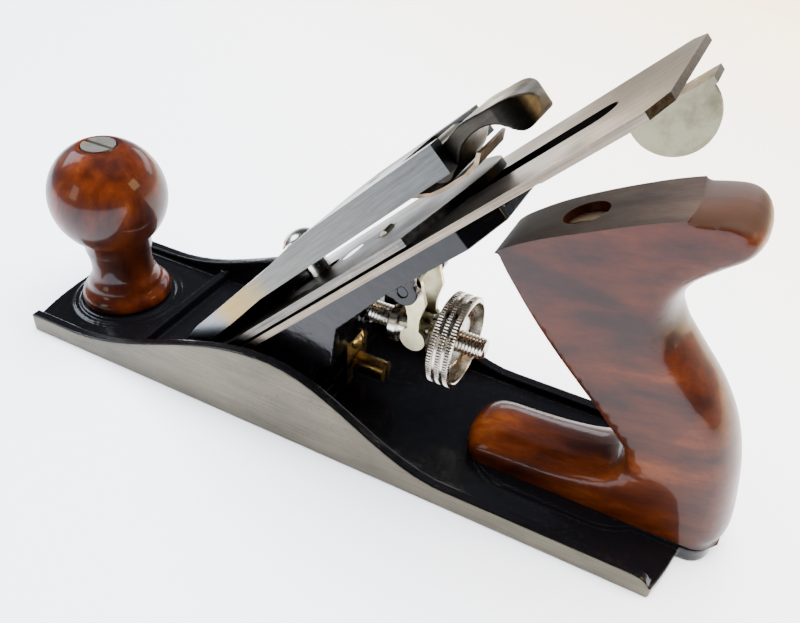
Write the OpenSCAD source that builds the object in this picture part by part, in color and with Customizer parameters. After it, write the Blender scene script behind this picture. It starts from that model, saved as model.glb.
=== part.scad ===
// Smoothing plane with a screw-adjusted frog.
// Frame: +X from toe to heel, +Y to the far cheek, +Z up, sole at z = 0,
// origin under the middle of the sole. Bed coordinates run up the bed (s),
// across it (y) and square out of it (n), from the line where the upper face
// of the iron meets the sole.

/* [Body casting] */
// Overall length, from the toe to the rear end of the tote
body_len = 250; // [200:1:320]
// Width over the cheeks
body_w = 61; // [50:0.5:80]
// Thickness of the sole
sole_t = 4; // [3:0.5:6]
// Thickness of each cheek
cheek_t = 3.6; // [2.5:0.1:5]
// Height of the cheeks at the hump
cheek_h = 30.8; // [20:0.2:45]
// Height of the cheeks at toe and heel
cheek_low = 7.2; // [5.5:0.1:12]
// Distance of the hump's top from the toe
hump_from_toe = 110; // [70:1:150]
// Length of the hump's rise on the toe side
hump_rise = 88; // [40:1:100]
// Length of the hump's fall on the heel side
hump_fall = 62; // [40:1:90]
// How far the toe's arc stands out past its corners
toe_sagitta = 4.5; // [1:0.5:10]
// Length of the tab that carries the tote past the heel's arc
heel_tab_len = 7.5; // [2:0.5:15]
// Width of that tab
heel_tab_w = 26; // [16:0.5:34]
// How far the tote overhangs the tab
tote_overhang = 3.5; // [0:0.5:6]

/* [Bed and mouth] */
// Angle of the bed
bed_angle = 45; // [40:1:55]
// Distance of the cutting line from the toe
mouth_from_toe = 69.5; // [50:0.5:90]
// Opening in front of the cutting edge
mouth_gap = 2.4; // [1:0.1:4]

/* [Frog] */
// Width of the frog
frog_w = 44; // [34:0.5:48]
// Length of the bed face, measured up the bed
frog_top_s = 139; // [110:1:160]
// Thickness of the bed plate
frog_plate_t = 6.2; // [4:0.1:9]
// Height of the frog's seat above the ground
frog_seat_z = 10; // [7:0.5:14]
// How far the frog can move each way on its seat
frog_travel = 1; // [0.5:0.1:2]

/* [Iron and cap iron] */
// Width of the iron
iron_w = 50.5; // [40:0.5:52]
// Length of the iron
iron_len = 189; // [150:1:210]
// Thickness of the iron
iron_t = 2; // [1.6:0.1:3.2]
// Height of the cutting edge along the bed, above the sole
edge_rest = 0.6; // [0.3:0.1:2]
// Width of the iron's slot
iron_slot_w = 11; // [9.5:0.1:14]
// Thickness of the cap iron
cap_iron_t = 2.4; // [1.6:0.1:3]
// Upper end of the cap iron along the bed
cap_iron_top_s = 138; // [120:1:150]

/* [Lever cap] */
// Width of the lever cap at its nose
cap_w = 50; // [40:0.5:52]
// Width of the lever cap at its upper end
cap_top_w = 29; // [26:0.5:50]
// Start of the lever cap's nose along the bed
cap_nose_s = 13; // [8:0.5:20]
// Upper end of the lever cap along the bed
cap_end_s = 134; // [125:1:155]
// Width of the cam lever
cam_w = 19; // [12:0.5:22]
// Radius of the cam pin
cam_pin_r = 2; // [1.5:0.1:3]

/* [Depth adjuster] */
// Height of the stud's axis
stud_z = 38.8; // [32:0.2:46]
// Radius of the stud
stud_r = 3.55; // [2.5:0.05:5]
// Radius of the knurled wheel
wheel_r = 14.6; // [11:0.1:18]
// Width of the knurled rim
wheel_w = 7.6; // [5:0.1:12]
// Radius of the round ends of the yoke
yoke_pad_r = 4.1; // [3:0.1:5]

/* [Lateral lever] */
// Distance from the lever's pivot to its roller
lateral_arm = 12; // [8:0.5:16]
// Upper end of the lateral lever along the bed
lateral_top_s = 193; // [170:1:210]
// Radius of its thumb disc
thumb_r = 10; // [6:0.5:12]

/* [Wooden grips] */
// Distance of the knob's axis from the toe
knob_from_toe = 22.7; // [20:0.1:40]
// Radius of the ball
knob_ball_r = 20.5; // [15:0.5:24]
// Height of the ball's centre above the ground
knob_ball_z = 48.2; // [40:0.2:60]
// Radius of the neck
knob_neck_r = 11.2; // [8:0.2:14]
// Radius of the knob's foot
knob_foot_r = 16.4; // [13:0.2:19]
// Thickness of the tote
tote_t = 26; // [20:0.5:30]
// Length of the tote's threaded rod
tote_stud_len = 92; // [70:1:100]
// Radius of the rods that hold the knob and the tote
rod_r = 2.8; // [2.2:0.1:3.5]

/* [Hidden] */
$fn = 64;

// Clearances, all radial or face to face
run_gap = 0.05;      // turning and sliding round fits
face_gap = 0.1;      // flat faces that slide on one another
free_gap = 0.4;      // pieces that pass without touching
mouth_side = 1.55;   // room beside the iron for its tilt
eps = 0.02;          // overshoot of a cut
big = 200;           // larger than any piece

toe_x = -body_len / 2;
heel_x = body_len / 2;
mouth_x = toe_x + mouth_from_toe;
inner_y = body_w / 2 - cheek_t;
hump_x = toe_x + hump_from_toe;
tab_x = heel_x - tote_overhang;
heel_arc_x = tab_x - heel_tab_len;
toe_corner_x = toe_x + toe_sagitta;
heel_sagitta = 5;
heel_corner_x = heel_arc_x - heel_sagitta;

// Places along the bed
cap_screw_s = 63;
iron_screw_s = 79;
yoke_s = 95;
roller_s = 114;
pivot_s = roller_s + lateral_arm;
frog_face_n = -iron_t - face_gap;
frog_under_n = frog_face_n - frog_plate_t;

// Round parts
cap_screw_r = 3.9;
cap_screw_head_r = 5.4;
iron_screw_r = 3.9;
iron_screw_head_r = 7.6;
iron_screw_head_t = 3.2;
frog_screw_r = 2.9;
frog_screw_head_r = 5.2;
frog_screw_x = mouth_x + 30.5;
frog_screw_y = 13.5;
frog_screw_head_t = 3.2;
washer_t = 1;
washer_r = 6.4;
foot_t = 3.6;
pivot_r = 2.4;
roller_r = 5.3;
roller_t = 2.2;

// Cap iron section
hump_n = 6;
cap_iron_gap = 0.9;
cap_iron_top_n = cap_iron_gap + cap_iron_t;

// Lever cap section
cap_nose_n = hump_n + 0.2;
cap_top_n = 17.4;
cap_shell = 4.5;
cam_pin_s = cap_end_s - 6;
cam_pin_n = 12;
cam_drop = 5.6;
spring_t = 1;
spring_w = 17;
spring_rivet_s = 102;
spring_rivet_r = 2.2;

// Depth adjuster
lead = 1.058;
hub_r = 5.2;
flange_r = 6.7;
flange_t = 2.4;
groove_w = 10.6;
hub_front_x = toe_x + 139;
groove_x = hub_front_x + flange_t;
pad_x = groove_x + groove_w - yoke_pad_r - 0.2;
wheel_x = groove_x + groove_w + 3.4;
stud_end_x = wheel_x + wheel_w + 6;
stud_boss_x = hub_front_x - 8;
stud_start_x = stud_boss_x - 6.5;
yoke_t = 1.5;
yoke_n = -12.4;
yoke_pin_r = 1.6;
yoke_y = hub_r + 0.2;
finger_w = 5;
finger_t = 3.2;

// Frog adjusting screw
adj_z = 15;
adj_head_r = 3.5;
adj_shank_r = 2.4;
adj_groove_x = mouth_x + 53.8;
adj_groove_w = 1.9;
adj_head_len = 11;
clip_t = 1.4;
clip_w = 13;
rib_x0 = adj_groove_x - 26;
rib_x1 = adj_groove_x - 6.5;
rib_w = 13;
rail_x0 = mouth_x + frog_seat_z / tan(bed_angle) - frog_under_n / sin(bed_angle)
    + frog_travel + free_gap;

// Wooden grips
knob_x = toe_x + knob_from_toe;
knob_seat_z = sole_t + 1.3;
knob_top_z = knob_ball_z + sqrt(pow(knob_ball_r, 2) - pow(7.2, 2));
nut_head_r = 5.8;
nut_head_t = 1.9;
nut_barrel_r = 4.3;
nut_barrel_len = 13;
tote_seat_z = sole_t + 1;
tote_seat_w = 35;
tote_lean = 25;
tote_rod_foot_x = heel_x - 18;

// x to z map of a point given in bed coordinates
function bed_point(s, n) = [mouth_x + s * cos(bed_angle) - n * sin(bed_angle),
                            s * sin(bed_angle) + n * cos(bed_angle)];
// Height of a cheek at x: a low rim with a raised-cosine hump
function bump(d, span) = abs(d) >= span ? 0 : 0.5 + 0.5 * cos(180 * d / span);
function cheek_z(x) = cheek_low + (cheek_h - cheek_low)
    * bump(x - hump_x, x < hump_x ? hump_rise : hump_fall);
// Radius of an arc from its half chord and its sagitta
function arc_r(half, sag) = (half * half + sag * sag) / (2 * sag);
// Points of an arc
function arc(cx, cy, r, a0, a1, n = 12) =
    [for (i = [0:n]) let (a = a0 + (a1 - a0) * i / n) [cx + r * cos(a), cy + r * sin(a)]];
// A smooth closed curve through its points, four short chords to a span
function spline_at(p0, p1, p2, p3, t) = 0.5 * (2 * p1 + (p2 - p0) * t
    + (2 * p0 - 5 * p1 + 4 * p2 - p3) * t * t + (3 * p1 - p0 - 3 * p2 + p3) * t * t * t);
function smooth(p, steps = 4) = let (c = len(p))
    [for (i = [0:c - 1], k = [0:steps - 1])
        spline_at(p[(i + c - 1) % c], p[i], p[(i + 1) % c], p[(i + 2) % c], k / steps)];

// Children drawn in bed coordinates
module on_bed() translate([mouth_x, 0, 0]) rotate([0, -bed_angle, 0]) children();
// A profile in the x-z plane, extruded across the plane between two y values
module across(y0, y1) translate([0, y1, 0]) rotate([90, 0, 0]) linear_extrude(y1 - y0) children();
// A box from its two corners
module span(a, b) translate(a) cube(b - a);
// A rod from z = 0 upwards at a place along the bed, square to it
module bed_rod(s, n0, n1, r, y = 0) translate([s, y, n0]) cylinder(h = n1 - n0, r = r);
// A slot with round ends, drawn flat, from s0 to s1
module slot(s0, s1, w) {
    translate([s0, -w / 2]) square([s1 - s0, w]);
    for (s = [s0, s1]) translate([s, 0]) circle(d = w);
}
// A screwdriver slot cut across a head, drawn about the origin, top at z = 0
module driver_slot(r, depth, w = 1.2) span([-r - 1, -w / 2, -depth], [r + 1, w / 2, 1]);
// A rod along +X
module x_rod(x0, x1, r) translate([x0, 0, stud_z]) rotate([0, 90, 0]) cylinder(h = x1 - x0, r = r);

module sole_outline() {
    half = body_w / 2;
    toe_r = arc_r(half, toe_sagitta);
    heel_r = arc_r(half, heel_sagitta);
    tab = heel_tab_w / 2;
    tab_r = min(7, tab - 1);
    intersection() {
        translate([toe_x, -half]) square([-toe_x, body_w]);
        translate([toe_x + toe_r, 0]) circle(r = toe_r, $fn = 360);
    }
    intersection() {
        translate([-eps, -half]) square([heel_arc_x + eps, body_w]);
        translate([heel_arc_x - heel_r, 0]) circle(r = heel_r, $fn = 360);
    }
    translate([heel_arc_x - 12, -tab]) square([12 + heel_tab_len - tab_r, heel_tab_w]);
    translate([heel_arc_x - 12, -tab + tab_r]) square([12 + heel_tab_len, heel_tab_w - 2 * tab_r]);
    for (y = [-1, 1]) translate([tab_x - tab_r, y * (tab - tab_r)]) circle(r = tab_r);
}

module cheek_profile() {
    n = 44;
    r = 5.5;
    x1 = heel_corner_x;
    top = [for (i = [0:n]) let (x = toe_corner_x + (x1 - r - toe_corner_x) * i / n) [x, cheek_z(x)]];
    round_end = arc(x1 - r, cheek_low - r, r, 78, 0, 6);
    polygon(concat([[toe_corner_x, 0]], top, round_end, [[x1, 0]]));
}

module mouth_profile() {
    back = (iron_t + face_gap + frog_travel + 0.15) * sqrt(2);
    polygon([[mouth_x - mouth_gap, -1], [mouth_x - mouth_gap, 1],
             [mouth_x - mouth_gap - sole_t * 0.8, sole_t + 1],
             [mouth_x + back + sole_t + 1, sole_t + 1], [mouth_x + back - 1, -1]]);
}

module body_casting() {
    color("dimgray") difference() {
        union() {
            linear_extrude(sole_t) sole_outline();
            intersection() {
                for (y = [-1, 1])
                    across(y > 0 ? inner_y : -body_w / 2, y > 0 ? body_w / 2 : -inner_y) cheek_profile();
                linear_extrude(big) sole_outline();
            }
            // low ring under the knob
            translate([knob_x, 0, 0]) cylinder(h = knob_seat_z, r = knob_foot_r + 1.4);
            translate([knob_x, 0, 0]) cylinder(h = sole_t + 0.5, r = min(knob_foot_r + 3.6, knob_from_toe - 0.5));
            // cross rib in front of the mouth
            span([mouth_x - 22.5, -inner_y - eps, 0], [mouth_x - 19.3, inner_y + eps, sole_t + 4]);
            // seat of the tote
            linear_extrude(tote_seat_z) intersection() {
                union() {
                    translate([heel_x - 80, 0]) slot(tote_seat_w / 2, 60 - tote_seat_w / 2, tote_seat_w);
                    translate([heel_x - 40, -heel_tab_w / 2]) square([40, heel_tab_w]);
                }
                sole_outline();
            }
            // rails and centre rib that carry the frog
            for (y = [-1, 1])
                span([rail_x0, y * frog_w / 4 - frog_w / 4 + 3.5 * (y + 1), 0],
                     [adj_groove_x - 2, y * frog_w / 4 + frog_w / 4 + 3.5 * (y - 1), frog_seat_z]);
            span([rib_x0, -rib_w / 2, 0], [rib_x1, rib_w / 2, adj_z + 4.5]);
        }
        across(-iron_w / 2 - mouth_side, iron_w / 2 + mouth_side) mouth_profile();
        for (y = [-1, 1]) translate([frog_screw_x, y * frog_screw_y, 2])
            cylinder(h = big, r = frog_screw_r + run_gap);
        translate([rib_x0 - 1, 0, adj_z]) rotate([0, 90, 0]) cylinder(h = big / 2, r = adj_shank_r + run_gap);
        translate([knob_x, 0, 1.2]) cylinder(h = big, r = rod_r + eps);
        tote_axis() cylinder(h = 20, r = rod_r + eps);
    }
}

// Outline of the frog's side webs, in the x-z plane
module frog_web_profile() {
    low = frog_seat_z;
    polygon([[mouth_x + 20, low], [adj_groove_x - 3, low], [adj_groove_x - 3, low + 18],
             [stud_boss_x - 3, stud_z - 9], [stud_boss_x - 1, stud_z + 7],
             bed_point(112, frog_under_n + 1), bed_point(30, frog_under_n + 1)]);
}

module frog() {
    half = frog_w / 2;
    web = 3.6;
    ear_y = yoke_y + yoke_t + free_gap;
    ear_t = 4;
    pivot = bed_point(yoke_s, yoke_n);
    color("black") difference() {
        union() {
            // bed plate with a rounded upper end
            on_bed() difference() {
                span([10, -half, frog_under_n], [frog_top_s, half, frog_face_n]);
                for (y = [-1, 1]) translate([frog_top_s, y * half, 0]) rotate([0, 0, 45])
                    translate([-6, -6, frog_under_n - 1]) cube([12, 12, frog_plate_t + 2]);
                translate([frog_top_s, -big / 2, frog_under_n]) rotate([0, -35, 0])
                    translate([-12, 0, -8]) cube([20, big, 8]);
            }
            for (y = [-half, half - web]) across(y, y + web) frog_web_profile();
            // feet on the rails
            for (y = [-1, 1])
                span([mouth_x + 20, y > 0 ? rib_w / 2 + 1 : -half, frog_seat_z],
                     [adj_groove_x - 3, y > 0 ? half : -rib_w / 2 - 1, frog_seat_z + foot_t]);
            // back wall that carries the clip
            span([adj_groove_x - 6, -half, adj_z + 6.5], [adj_groove_x - 3, half, adj_z + 13]);
            // boss of the stud
            x_rod(stud_start_x - 5, stud_boss_x, 7);
            intersection() {
                span([stud_boss_x - 22, -half, stud_z - 8], [stud_boss_x - 2, half, stud_z + 5]);
                across(-half, half) frog_web_profile();
            }
            // ears of the yoke
            for (y = [-1, 1]) across(y > 0 ? ear_y : -ear_y - ear_t, y > 0 ? ear_y + ear_t : -ear_y) {
                translate(pivot) circle(r = 4.6);
                polygon([bed_point(yoke_s - 9, frog_under_n + 1), bed_point(yoke_s + 9, frog_under_n + 1),
                         pivot + [3.4, 3], pivot + [-2.8, -3.4]]);
            }
            // boss of the lever cap screw
            on_bed() bed_rod(cap_screw_s, frog_under_n - 7, frog_face_n, 7.5);
        }
        // nothing below the rails or into the mouth
        translate([-big / 2, -big / 2, -big]) cube([big, big, big + sole_t + 0.4]);
        on_bed() {
            bed_rod(cap_screw_s, frog_under_n - 1.3, 1, cap_screw_r + eps);
            // window for the cap iron screw and the yoke's finger
            translate([0, 0, frog_under_n - 6]) linear_extrude(frog_plate_t + 10)
                slot(iron_screw_s - 1, yoke_s + 2, 2 * iron_screw_head_r + 3);
            // recess of the lateral lever
            translate([0, 0, frog_face_n - 3.1]) linear_extrude(10) {
                translate([roller_s, 0]) circle(r = 9.5);
                translate([pivot_s, 0]) circle(r = 9.5);
                polygon([[roller_s, -9.5], [pivot_s, -9.5], [frog_top_s + 1, -11],
                         [frog_top_s + 1, 11], [pivot_s, 9.5], [roller_s, 9.5]]);
            }
            bed_rod(pivot_s, frog_under_n - 1, 1, pivot_r + eps);
        }
        // screwdriver access to the frog screws
        for (y = [-1, 1]) {
            translate([0, y * frog_screw_y, frog_seat_z + foot_t]) linear_extrude(big)
                translate([frog_screw_x, 0]) slot(-frog_travel, frog_travel, 2 * washer_r + 1);
            translate([0, y * frog_screw_y, 0]) linear_extrude(big)
                translate([frog_screw_x, 0])
                    slot(-frog_travel - 0.2, frog_travel + 0.2, 2 * (frog_screw_r + free_gap));
        }
        // room for the centre rib
        span([rib_x0 - 2 * frog_travel, -rib_w / 2 - 0.6, 0],
             [rib_x1 + 2 * frog_travel, rib_w / 2 + 0.6, adj_z + 4.5 + free_gap]);
        x_rod(stud_start_x - 0.5, big, stud_r + eps);
        across(-big, big) translate(pivot) circle(r = yoke_pin_r + eps);
        translate([adj_groove_x - 20, 0, adj_z + 9.5]) rotate([0, 90, 0]) cylinder(h = 40, r = 1.6 + eps);
    }
}

module frog_screws() {
    top = frog_seat_z + foot_t + washer_t;
    color("darkgoldenrod") for (y = [-1, 1]) translate([frog_screw_x, y * frog_screw_y, 0]) difference() {
        union() {
            translate([0, 0, 2.6]) cylinder(h = top - 2.6, r = frog_screw_r);
            translate([0, 0, top]) cylinder(h = frog_screw_head_t, r = frog_screw_head_r);
        }
        translate([0, 0, top + frog_screw_head_t]) driver_slot(frog_screw_head_r, 1.3);
    }
}

module frog_screw_washers() {
    color("silver") for (y = [-1, 1])
        translate([frog_screw_x, y * frog_screw_y, frog_seat_z + foot_t]) difference() {
            cylinder(h = washer_t, r = washer_r);
            translate([0, 0, -1]) cylinder(h = washer_t + 2, r = frog_screw_r + 0.15);
        }
}

module frog_adjusting_screw() {
    back = adj_groove_x + adj_groove_w + adj_head_len;
    color("darkgoldenrod") translate([0, 0, adj_z]) rotate([0, 90, 0]) difference() {
        union() {
            translate([0, 0, rib_x0 + 1.5]) cylinder(h = adj_groove_x - rib_x0 - 1.5, r = adj_shank_r);
            translate([0, 0, adj_groove_x - 2.2]) cylinder(h = 2.2, r = adj_head_r);
            translate([0, 0, adj_groove_x - 1]) cylinder(h = adj_groove_w + 2, r = adj_shank_r);
            translate([0, 0, adj_groove_x + adj_groove_w]) cylinder(h = adj_head_len, r = adj_head_r);
        }
        translate([0, 0, back]) driver_slot(adj_head_r, 1.6);
    }
}

module frog_clip() {
    x0 = adj_groove_x + (adj_groove_w - clip_t) / 2;
    color("darkgoldenrod") difference() {
        union() {
            span([x0, -clip_w / 2, adj_z - 7], [x0 + clip_t, clip_w / 2, adj_z + 13.5]);
            // joggle back to the frog's wall
            span([adj_groove_x - 3, -clip_w / 2, adj_z + 12.1], [x0 + clip_t, clip_w / 2, adj_z + 13.5]);
            span([adj_groove_x - 3, -clip_w / 2, adj_z + 6.5], [x0 + eps, clip_w / 2, adj_z + 12.6]);
        }
        // fork round the screw's groove
        translate([x0 - 5, 0, adj_z]) rotate([0, 90, 0]) cylinder(h = 12, r = adj_shank_r + run_gap);
        span([x0 - 5, -adj_shank_r - run_gap, -1], [x0 + 5, adj_shank_r + run_gap, adj_z]);
        translate([x0 - 12, 0, adj_z + 9.5]) rotate([0, 90, 0]) cylinder(h = 30, r = 1.6 + eps);
    }
}

module frog_clip_screw() {
    x0 = adj_groove_x + (adj_groove_w + clip_t) / 2;
    color("darkgoldenrod") translate([0, 0, adj_z + 9.5]) rotate([0, 90, 0]) difference() {
        union() {
            translate([0, 0, adj_groove_x - 10]) cylinder(h = x0 - adj_groove_x + 10, r = 1.6);
            translate([0, 0, x0]) intersection() {
                cylinder(h = 2.2, r = 3.4);
                translate([0, 0, -2.2]) sphere(r = 4.4);
            }
        }
        translate([0, 0, x0 + 2.2]) driver_slot(3.4, 1, 0.9);
    }
}

module depth_stud() {
    color("silver") x_rod(stud_start_x, stud_end_x, stud_r);
}

module depth_hub() {
    color("silver") difference() {
        union() {
            x_rod(hub_front_x, hub_front_x + flange_t, flange_r);
            x_rod(hub_front_x, wheel_x + wheel_w - 2.4, hub_r);
            translate([groove_x + groove_w, 0, stud_z]) rotate([0, 90, 0])
                cylinder(h = wheel_x - face_gap - groove_x - groove_w, r1 = flange_r, r2 = hub_r + 3.4);
        }
        x_rod(hub_front_x - 1, big, stud_r + run_gap);
    }
}

module depth_wheel() {
    web_t = 2.6;
    band = wheel_w / 3;
    color("lightgray") difference() {
        union() {
            x_rod(wheel_x, wheel_x + wheel_w, wheel_r);
            x_rod(wheel_x, wheel_x + web_t + 2.2, hub_r + 3);
        }
        // dished rear face
        difference() {
            x_rod(wheel_x + web_t, wheel_x + wheel_w + 1, wheel_r - 1.6);
            x_rod(wheel_x, wheel_x + web_t + 2.2, hub_r + 3);
        }
        // two grooves between the knurled bands
        for (i = [1, 2]) translate([wheel_x + i * band, 0, stud_z]) rotate([0, 90, 0])
            rotate_extrude() translate([wheel_r, 0]) circle(r = 0.55, $fn = 24);
        x_rod(wheel_x - 1, big, hub_r + run_gap);
    }
}

module yoke() {
    pivot = bed_point(yoke_s, yoke_n);
    pad = [pad_x, stud_z];
    color("khaki") difference() {
        union() {
            for (y = [-1, 1]) across(y > 0 ? yoke_y : -yoke_y - yoke_t, y > 0 ? yoke_y + yoke_t : -yoke_y) {
                translate(pad) circle(r = yoke_pad_r);
                polygon([pad + [-1.8, 0], pad + [1.8, 0], pad + [1.9, 8], pad + [3.4, 14],
                         pivot + [4.2, 0], pivot + [-4, 0], pad + [-3.6, 14], pad + [-1.9, 8]]);
                translate(pivot) circle(r = 4.2);
            }
            // bridge between the arms and the finger into the cap iron
            on_bed() {
                span([yoke_s - 3.6, -yoke_y - eps, yoke_n + 2.6],
                     [yoke_s + 3.6, yoke_y + eps, yoke_n + 2.6 + yoke_t]);
                span([yoke_s - finger_t / 2, -finger_w / 2, yoke_n + 3],
                     [yoke_s + finger_t / 2, finger_w / 2, cap_iron_top_n - 0.6]);
                translate([yoke_s, 0, cap_iron_top_n - 0.6]) rotate([90, 0, 0])
                    cylinder(h = finger_w, r = finger_t / 2, center = true);
            }
        }
        across(-big, big) translate(pivot) circle(r = yoke_pin_r + run_gap);
    }
}

module yoke_pin() {
    out = yoke_y + yoke_t + free_gap + 3.6;
    color("silver") across(-out, out) translate(bed_point(yoke_s, yoke_n)) circle(r = yoke_pin_r);
}

lateral_n1 = frog_face_n - 0.4;
lateral_t = 1.6;
lateral_drop = 2.2;

module lateral_lever() {
    n1 = lateral_n1;
    n0 = n1 - lateral_t;
    bend = frog_top_s + 3;
    disc_s = lateral_top_s - thumb_r - 0.8;
    disc_n = n0 - lateral_drop - 0.8;
    color("tan") on_bed() difference() {
        union() {
            translate([0, 0, n0]) linear_extrude(lateral_t) {
                translate([roller_s, 0]) circle(r = 5.4);
                translate([pivot_s, 0]) circle(r = 6.4);
                polygon([[roller_s, -5.4], [pivot_s, -6.4], [bend, -4.6],
                         [bend, 4.6], [pivot_s, 6.4], [roller_s, 5.4]]);
            }
            // the arm steps away from the iron above the frog
            across(-4.6, 4.6) polygon([[bend - 2, n1], [bend + 6, n1 - lateral_drop],
                [lateral_top_s, n1 - lateral_drop], [lateral_top_s, n0 - lateral_drop],
                [bend + 5.3, n0 - lateral_drop], [bend - 2, n0]]);
            // round thumb plate folded down from the arm
            intersection() {
                translate([disc_s, -4.6 + lateral_t, disc_n]) rotate([90, 0, 0])
                    cylinder(h = lateral_t, r = thumb_r);
                span([disc_s - 20, -10, -big], [disc_s + 20, 10, n1 - lateral_drop]);
            }
        }
        bed_rod(pivot_s, n0 - 1, n1 + 1, pivot_r + run_gap);
        bed_rod(roller_s, n0 - 1, n1 + 1, 1.6 + run_gap);
    }
}

module lateral_rivet() {
    color("silver") on_bed() {
        bed_rod(pivot_s, frog_under_n, lateral_n1, pivot_r);
        bed_rod(pivot_s, lateral_n1, lateral_n1 + 0.3, pivot_r + 1.2);
    }
}

module lateral_roller() {
    n1 = lateral_n1 - lateral_t;
    color("silver") on_bed() {
        bed_rod(roller_s, lateral_n1 + 0.1, lateral_n1 + 0.1 + roller_t, roller_r);
        bed_rod(roller_s, n1 - 0.6, lateral_n1 + 0.2, 1.6);
    }
}

module plane_iron() {
    s0 = edge_rest;
    s1 = s0 + iron_len;
    bevel = iron_t / tan(27);
    clip = 4.5;
    half = iron_w / 2;
    color("tan") on_bed() difference() {
        across(-half, half) polygon([[s0, 0], [s0 + bevel, -iron_t], [s1, -iron_t], [s1, 0]]);
        translate([0, 0, -iron_t - 1]) linear_extrude(iron_t + 2) {
            slot(s0 + 47, s0 + 165.5, iron_slot_w);
            translate([s0 + 47, 0]) circle(r = 10);
            for (y = [-1, 1]) translate([s1, y * half]) rotate(45)
                square(clip * sqrt(2), center = true);
        }
    }
}

module cap_iron_profile() {
    t = cap_iron_t;
    g = cap_iron_gap;
    e = cap_iron_top_s;
    rise = smooth([[2.6, 0.09], [6.5, 4.2], [11, hump_n], [17, hump_n - 0.8], [25, g + t + 0.7],
                   [34, g + t], [34, g], [25, g + 0.4], [17, 2.9], [10.5, 3.3], [6.5, 1.4]]);
    polygon(rise);
    translate([33, g]) square([e - 33, t]);
}

module cap_iron() {
    half = iron_w / 2 - 0.2;
    e = cap_iron_top_s;
    color("gray") on_bed() difference() {
        union() {
            across(-half, half) cap_iron_profile();
            // pad that seats on the iron round its screw
            bed_rod(iron_screw_s, 0.03, cap_iron_gap + 0.5, 9);
        }
        // shoulders taper to a narrow round upper end
        translate([0, 0, -1]) linear_extrude(20) difference() {
            translate([e - 20, -half - 1]) square([40, 2 * half + 2]);
            polygon([[e - 21, -half], [e - 20, -half], [e - 5, -10.5],
                     [e - 5, 10.5], [e - 20, half], [e - 21, half]]);
            translate([e - 12, 0]) circle(r = 12);
        }
        translate([0, 0, -1]) linear_extrude(20) {
            slot(cap_screw_s - 4, cap_screw_s + 3, 2 * cap_screw_r + 1.6);
            translate([cap_screw_s - 8, 0]) circle(r = cap_screw_head_r + 0.8);
        }
        translate([0, 0, -1]) linear_extrude(20) translate([yoke_s, 0])
            square([finger_t + 0.5, finger_w + 2.4], center = true);
        bed_rod(iron_screw_s, -1, 20, iron_screw_r + eps);
    }
}

module cap_iron_screw() {
    under = -iron_t;
    color("silver") on_bed() difference() {
        union() {
            bed_rod(iron_screw_s, under - iron_screw_head_t, under, iron_screw_head_r);
            bed_rod(iron_screw_s, under - eps, cap_iron_top_n, iron_screw_r);
        }
        translate([iron_screw_s, 0, under - iron_screw_head_t]) rotate([180, 0, 90])
            driver_slot(iron_screw_head_r, 1.4, 1.6);
    }
}

// Side view of the lever cap in bed coordinates
function cap_top_at(s) = lookup(s, [[cap_nose_s, 10.6], [25, 13], [49, 14.3],
                                    [62, 15], [78, cap_top_n - 0.4], [90, cap_top_n], [cap_end_s, cap_top_n]]);
function cap_low_at(s) = lookup(s, [[cap_nose_s, cap_nose_n], [38, 7.4], [56, 9], [cap_end_s, 9]]);
cap_stations = [cap_nose_s, 25, 38, 49, 56, 62, 78, 90, cap_end_s];

module cap_side() {
    polygon(concat([for (s = cap_stations) [s, cap_top_at(s)]],
                   [for (i = [len(cap_stations) - 1:-1:0]) [cap_stations[i], cap_low_at(cap_stations[i])]]));
}

// Half width of the lever cap at a place along the bed
function cap_half_at(s) = cap_top_w / 2 + (cap_w - cap_top_w) / 2
    * (cap_end_s - s) / (cap_end_s - cap_nose_s);
cam_pin_out = cap_half_at(cam_pin_s) - 1.4;
module cap_plan(inset = 0) {
    near = cap_half_at(cap_nose_s) - inset;
    far = cap_half_at(cap_end_s) - inset;
    polygon([[cap_nose_s, -near], [cap_nose_s, near], [cap_end_s, far], [cap_end_s, -far]]);
}

module lever_cap() {
    notch_y = cam_w / 2 + 0.4;
    shell_s = [32, 49, 62, 78, 90, 112];
    color("silver") on_bed() difference() {
        intersection() {
            across(-big / 2, big / 2) cap_side();
            linear_extrude(30) cap_plan();
        }
        // hollow underside between the flanks
        intersection() {
            across(-big / 2, big / 2) polygon(concat(
                [for (s = shell_s) [s, cap_top_at(s) - cap_shell]], [[112, -1], [32, -1]]));
            linear_extrude(30) cap_plan(4);
        }
        // keyhole
        linear_extrude(30) {
            slot(cap_screw_s - 8, cap_screw_s, 2 * (cap_screw_r + 0.25));
            translate([cap_screw_s - 11, 0]) circle(r = cap_screw_head_r + 0.5);
        }
        // notch of the cam lever
        span([cam_pin_s - 8.6, -notch_y, -1], [cap_end_s + 1, notch_y, 30]);
        span([108, -notch_y, -1], [cap_end_s + 1, notch_y, cap_top_n - cap_shell]);
        translate([cam_pin_s, 0, cam_pin_n]) rotate([90, 0, 0])
            cylinder(h = 2 * cam_pin_out + 2 * eps, r = cam_pin_r + eps, center = true);
        bed_rod(spring_rivet_s, 0, 30, spring_rivet_r + eps);
    }
}

module lever_cap_screw() {
    seat = cap_top_at(cap_screw_s + cap_screw_head_r) + face_gap;
    color("silver") on_bed() difference() {
        union() {
            bed_rod(cap_screw_s, frog_under_n - 1, seat + 0.6, cap_screw_r);
            translate([cap_screw_s, 0, seat + 0.35]) intersection() {
                cylinder(h = 4, r = cap_screw_head_r);
                translate([0, 0, -4.6]) sphere(r = 7.4);
            }
        }
        translate([cap_screw_s, 0, seat + 3.1]) rotate([0, 0, 65]) driver_slot(cap_screw_head_r, 1.3);
    }
}

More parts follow.
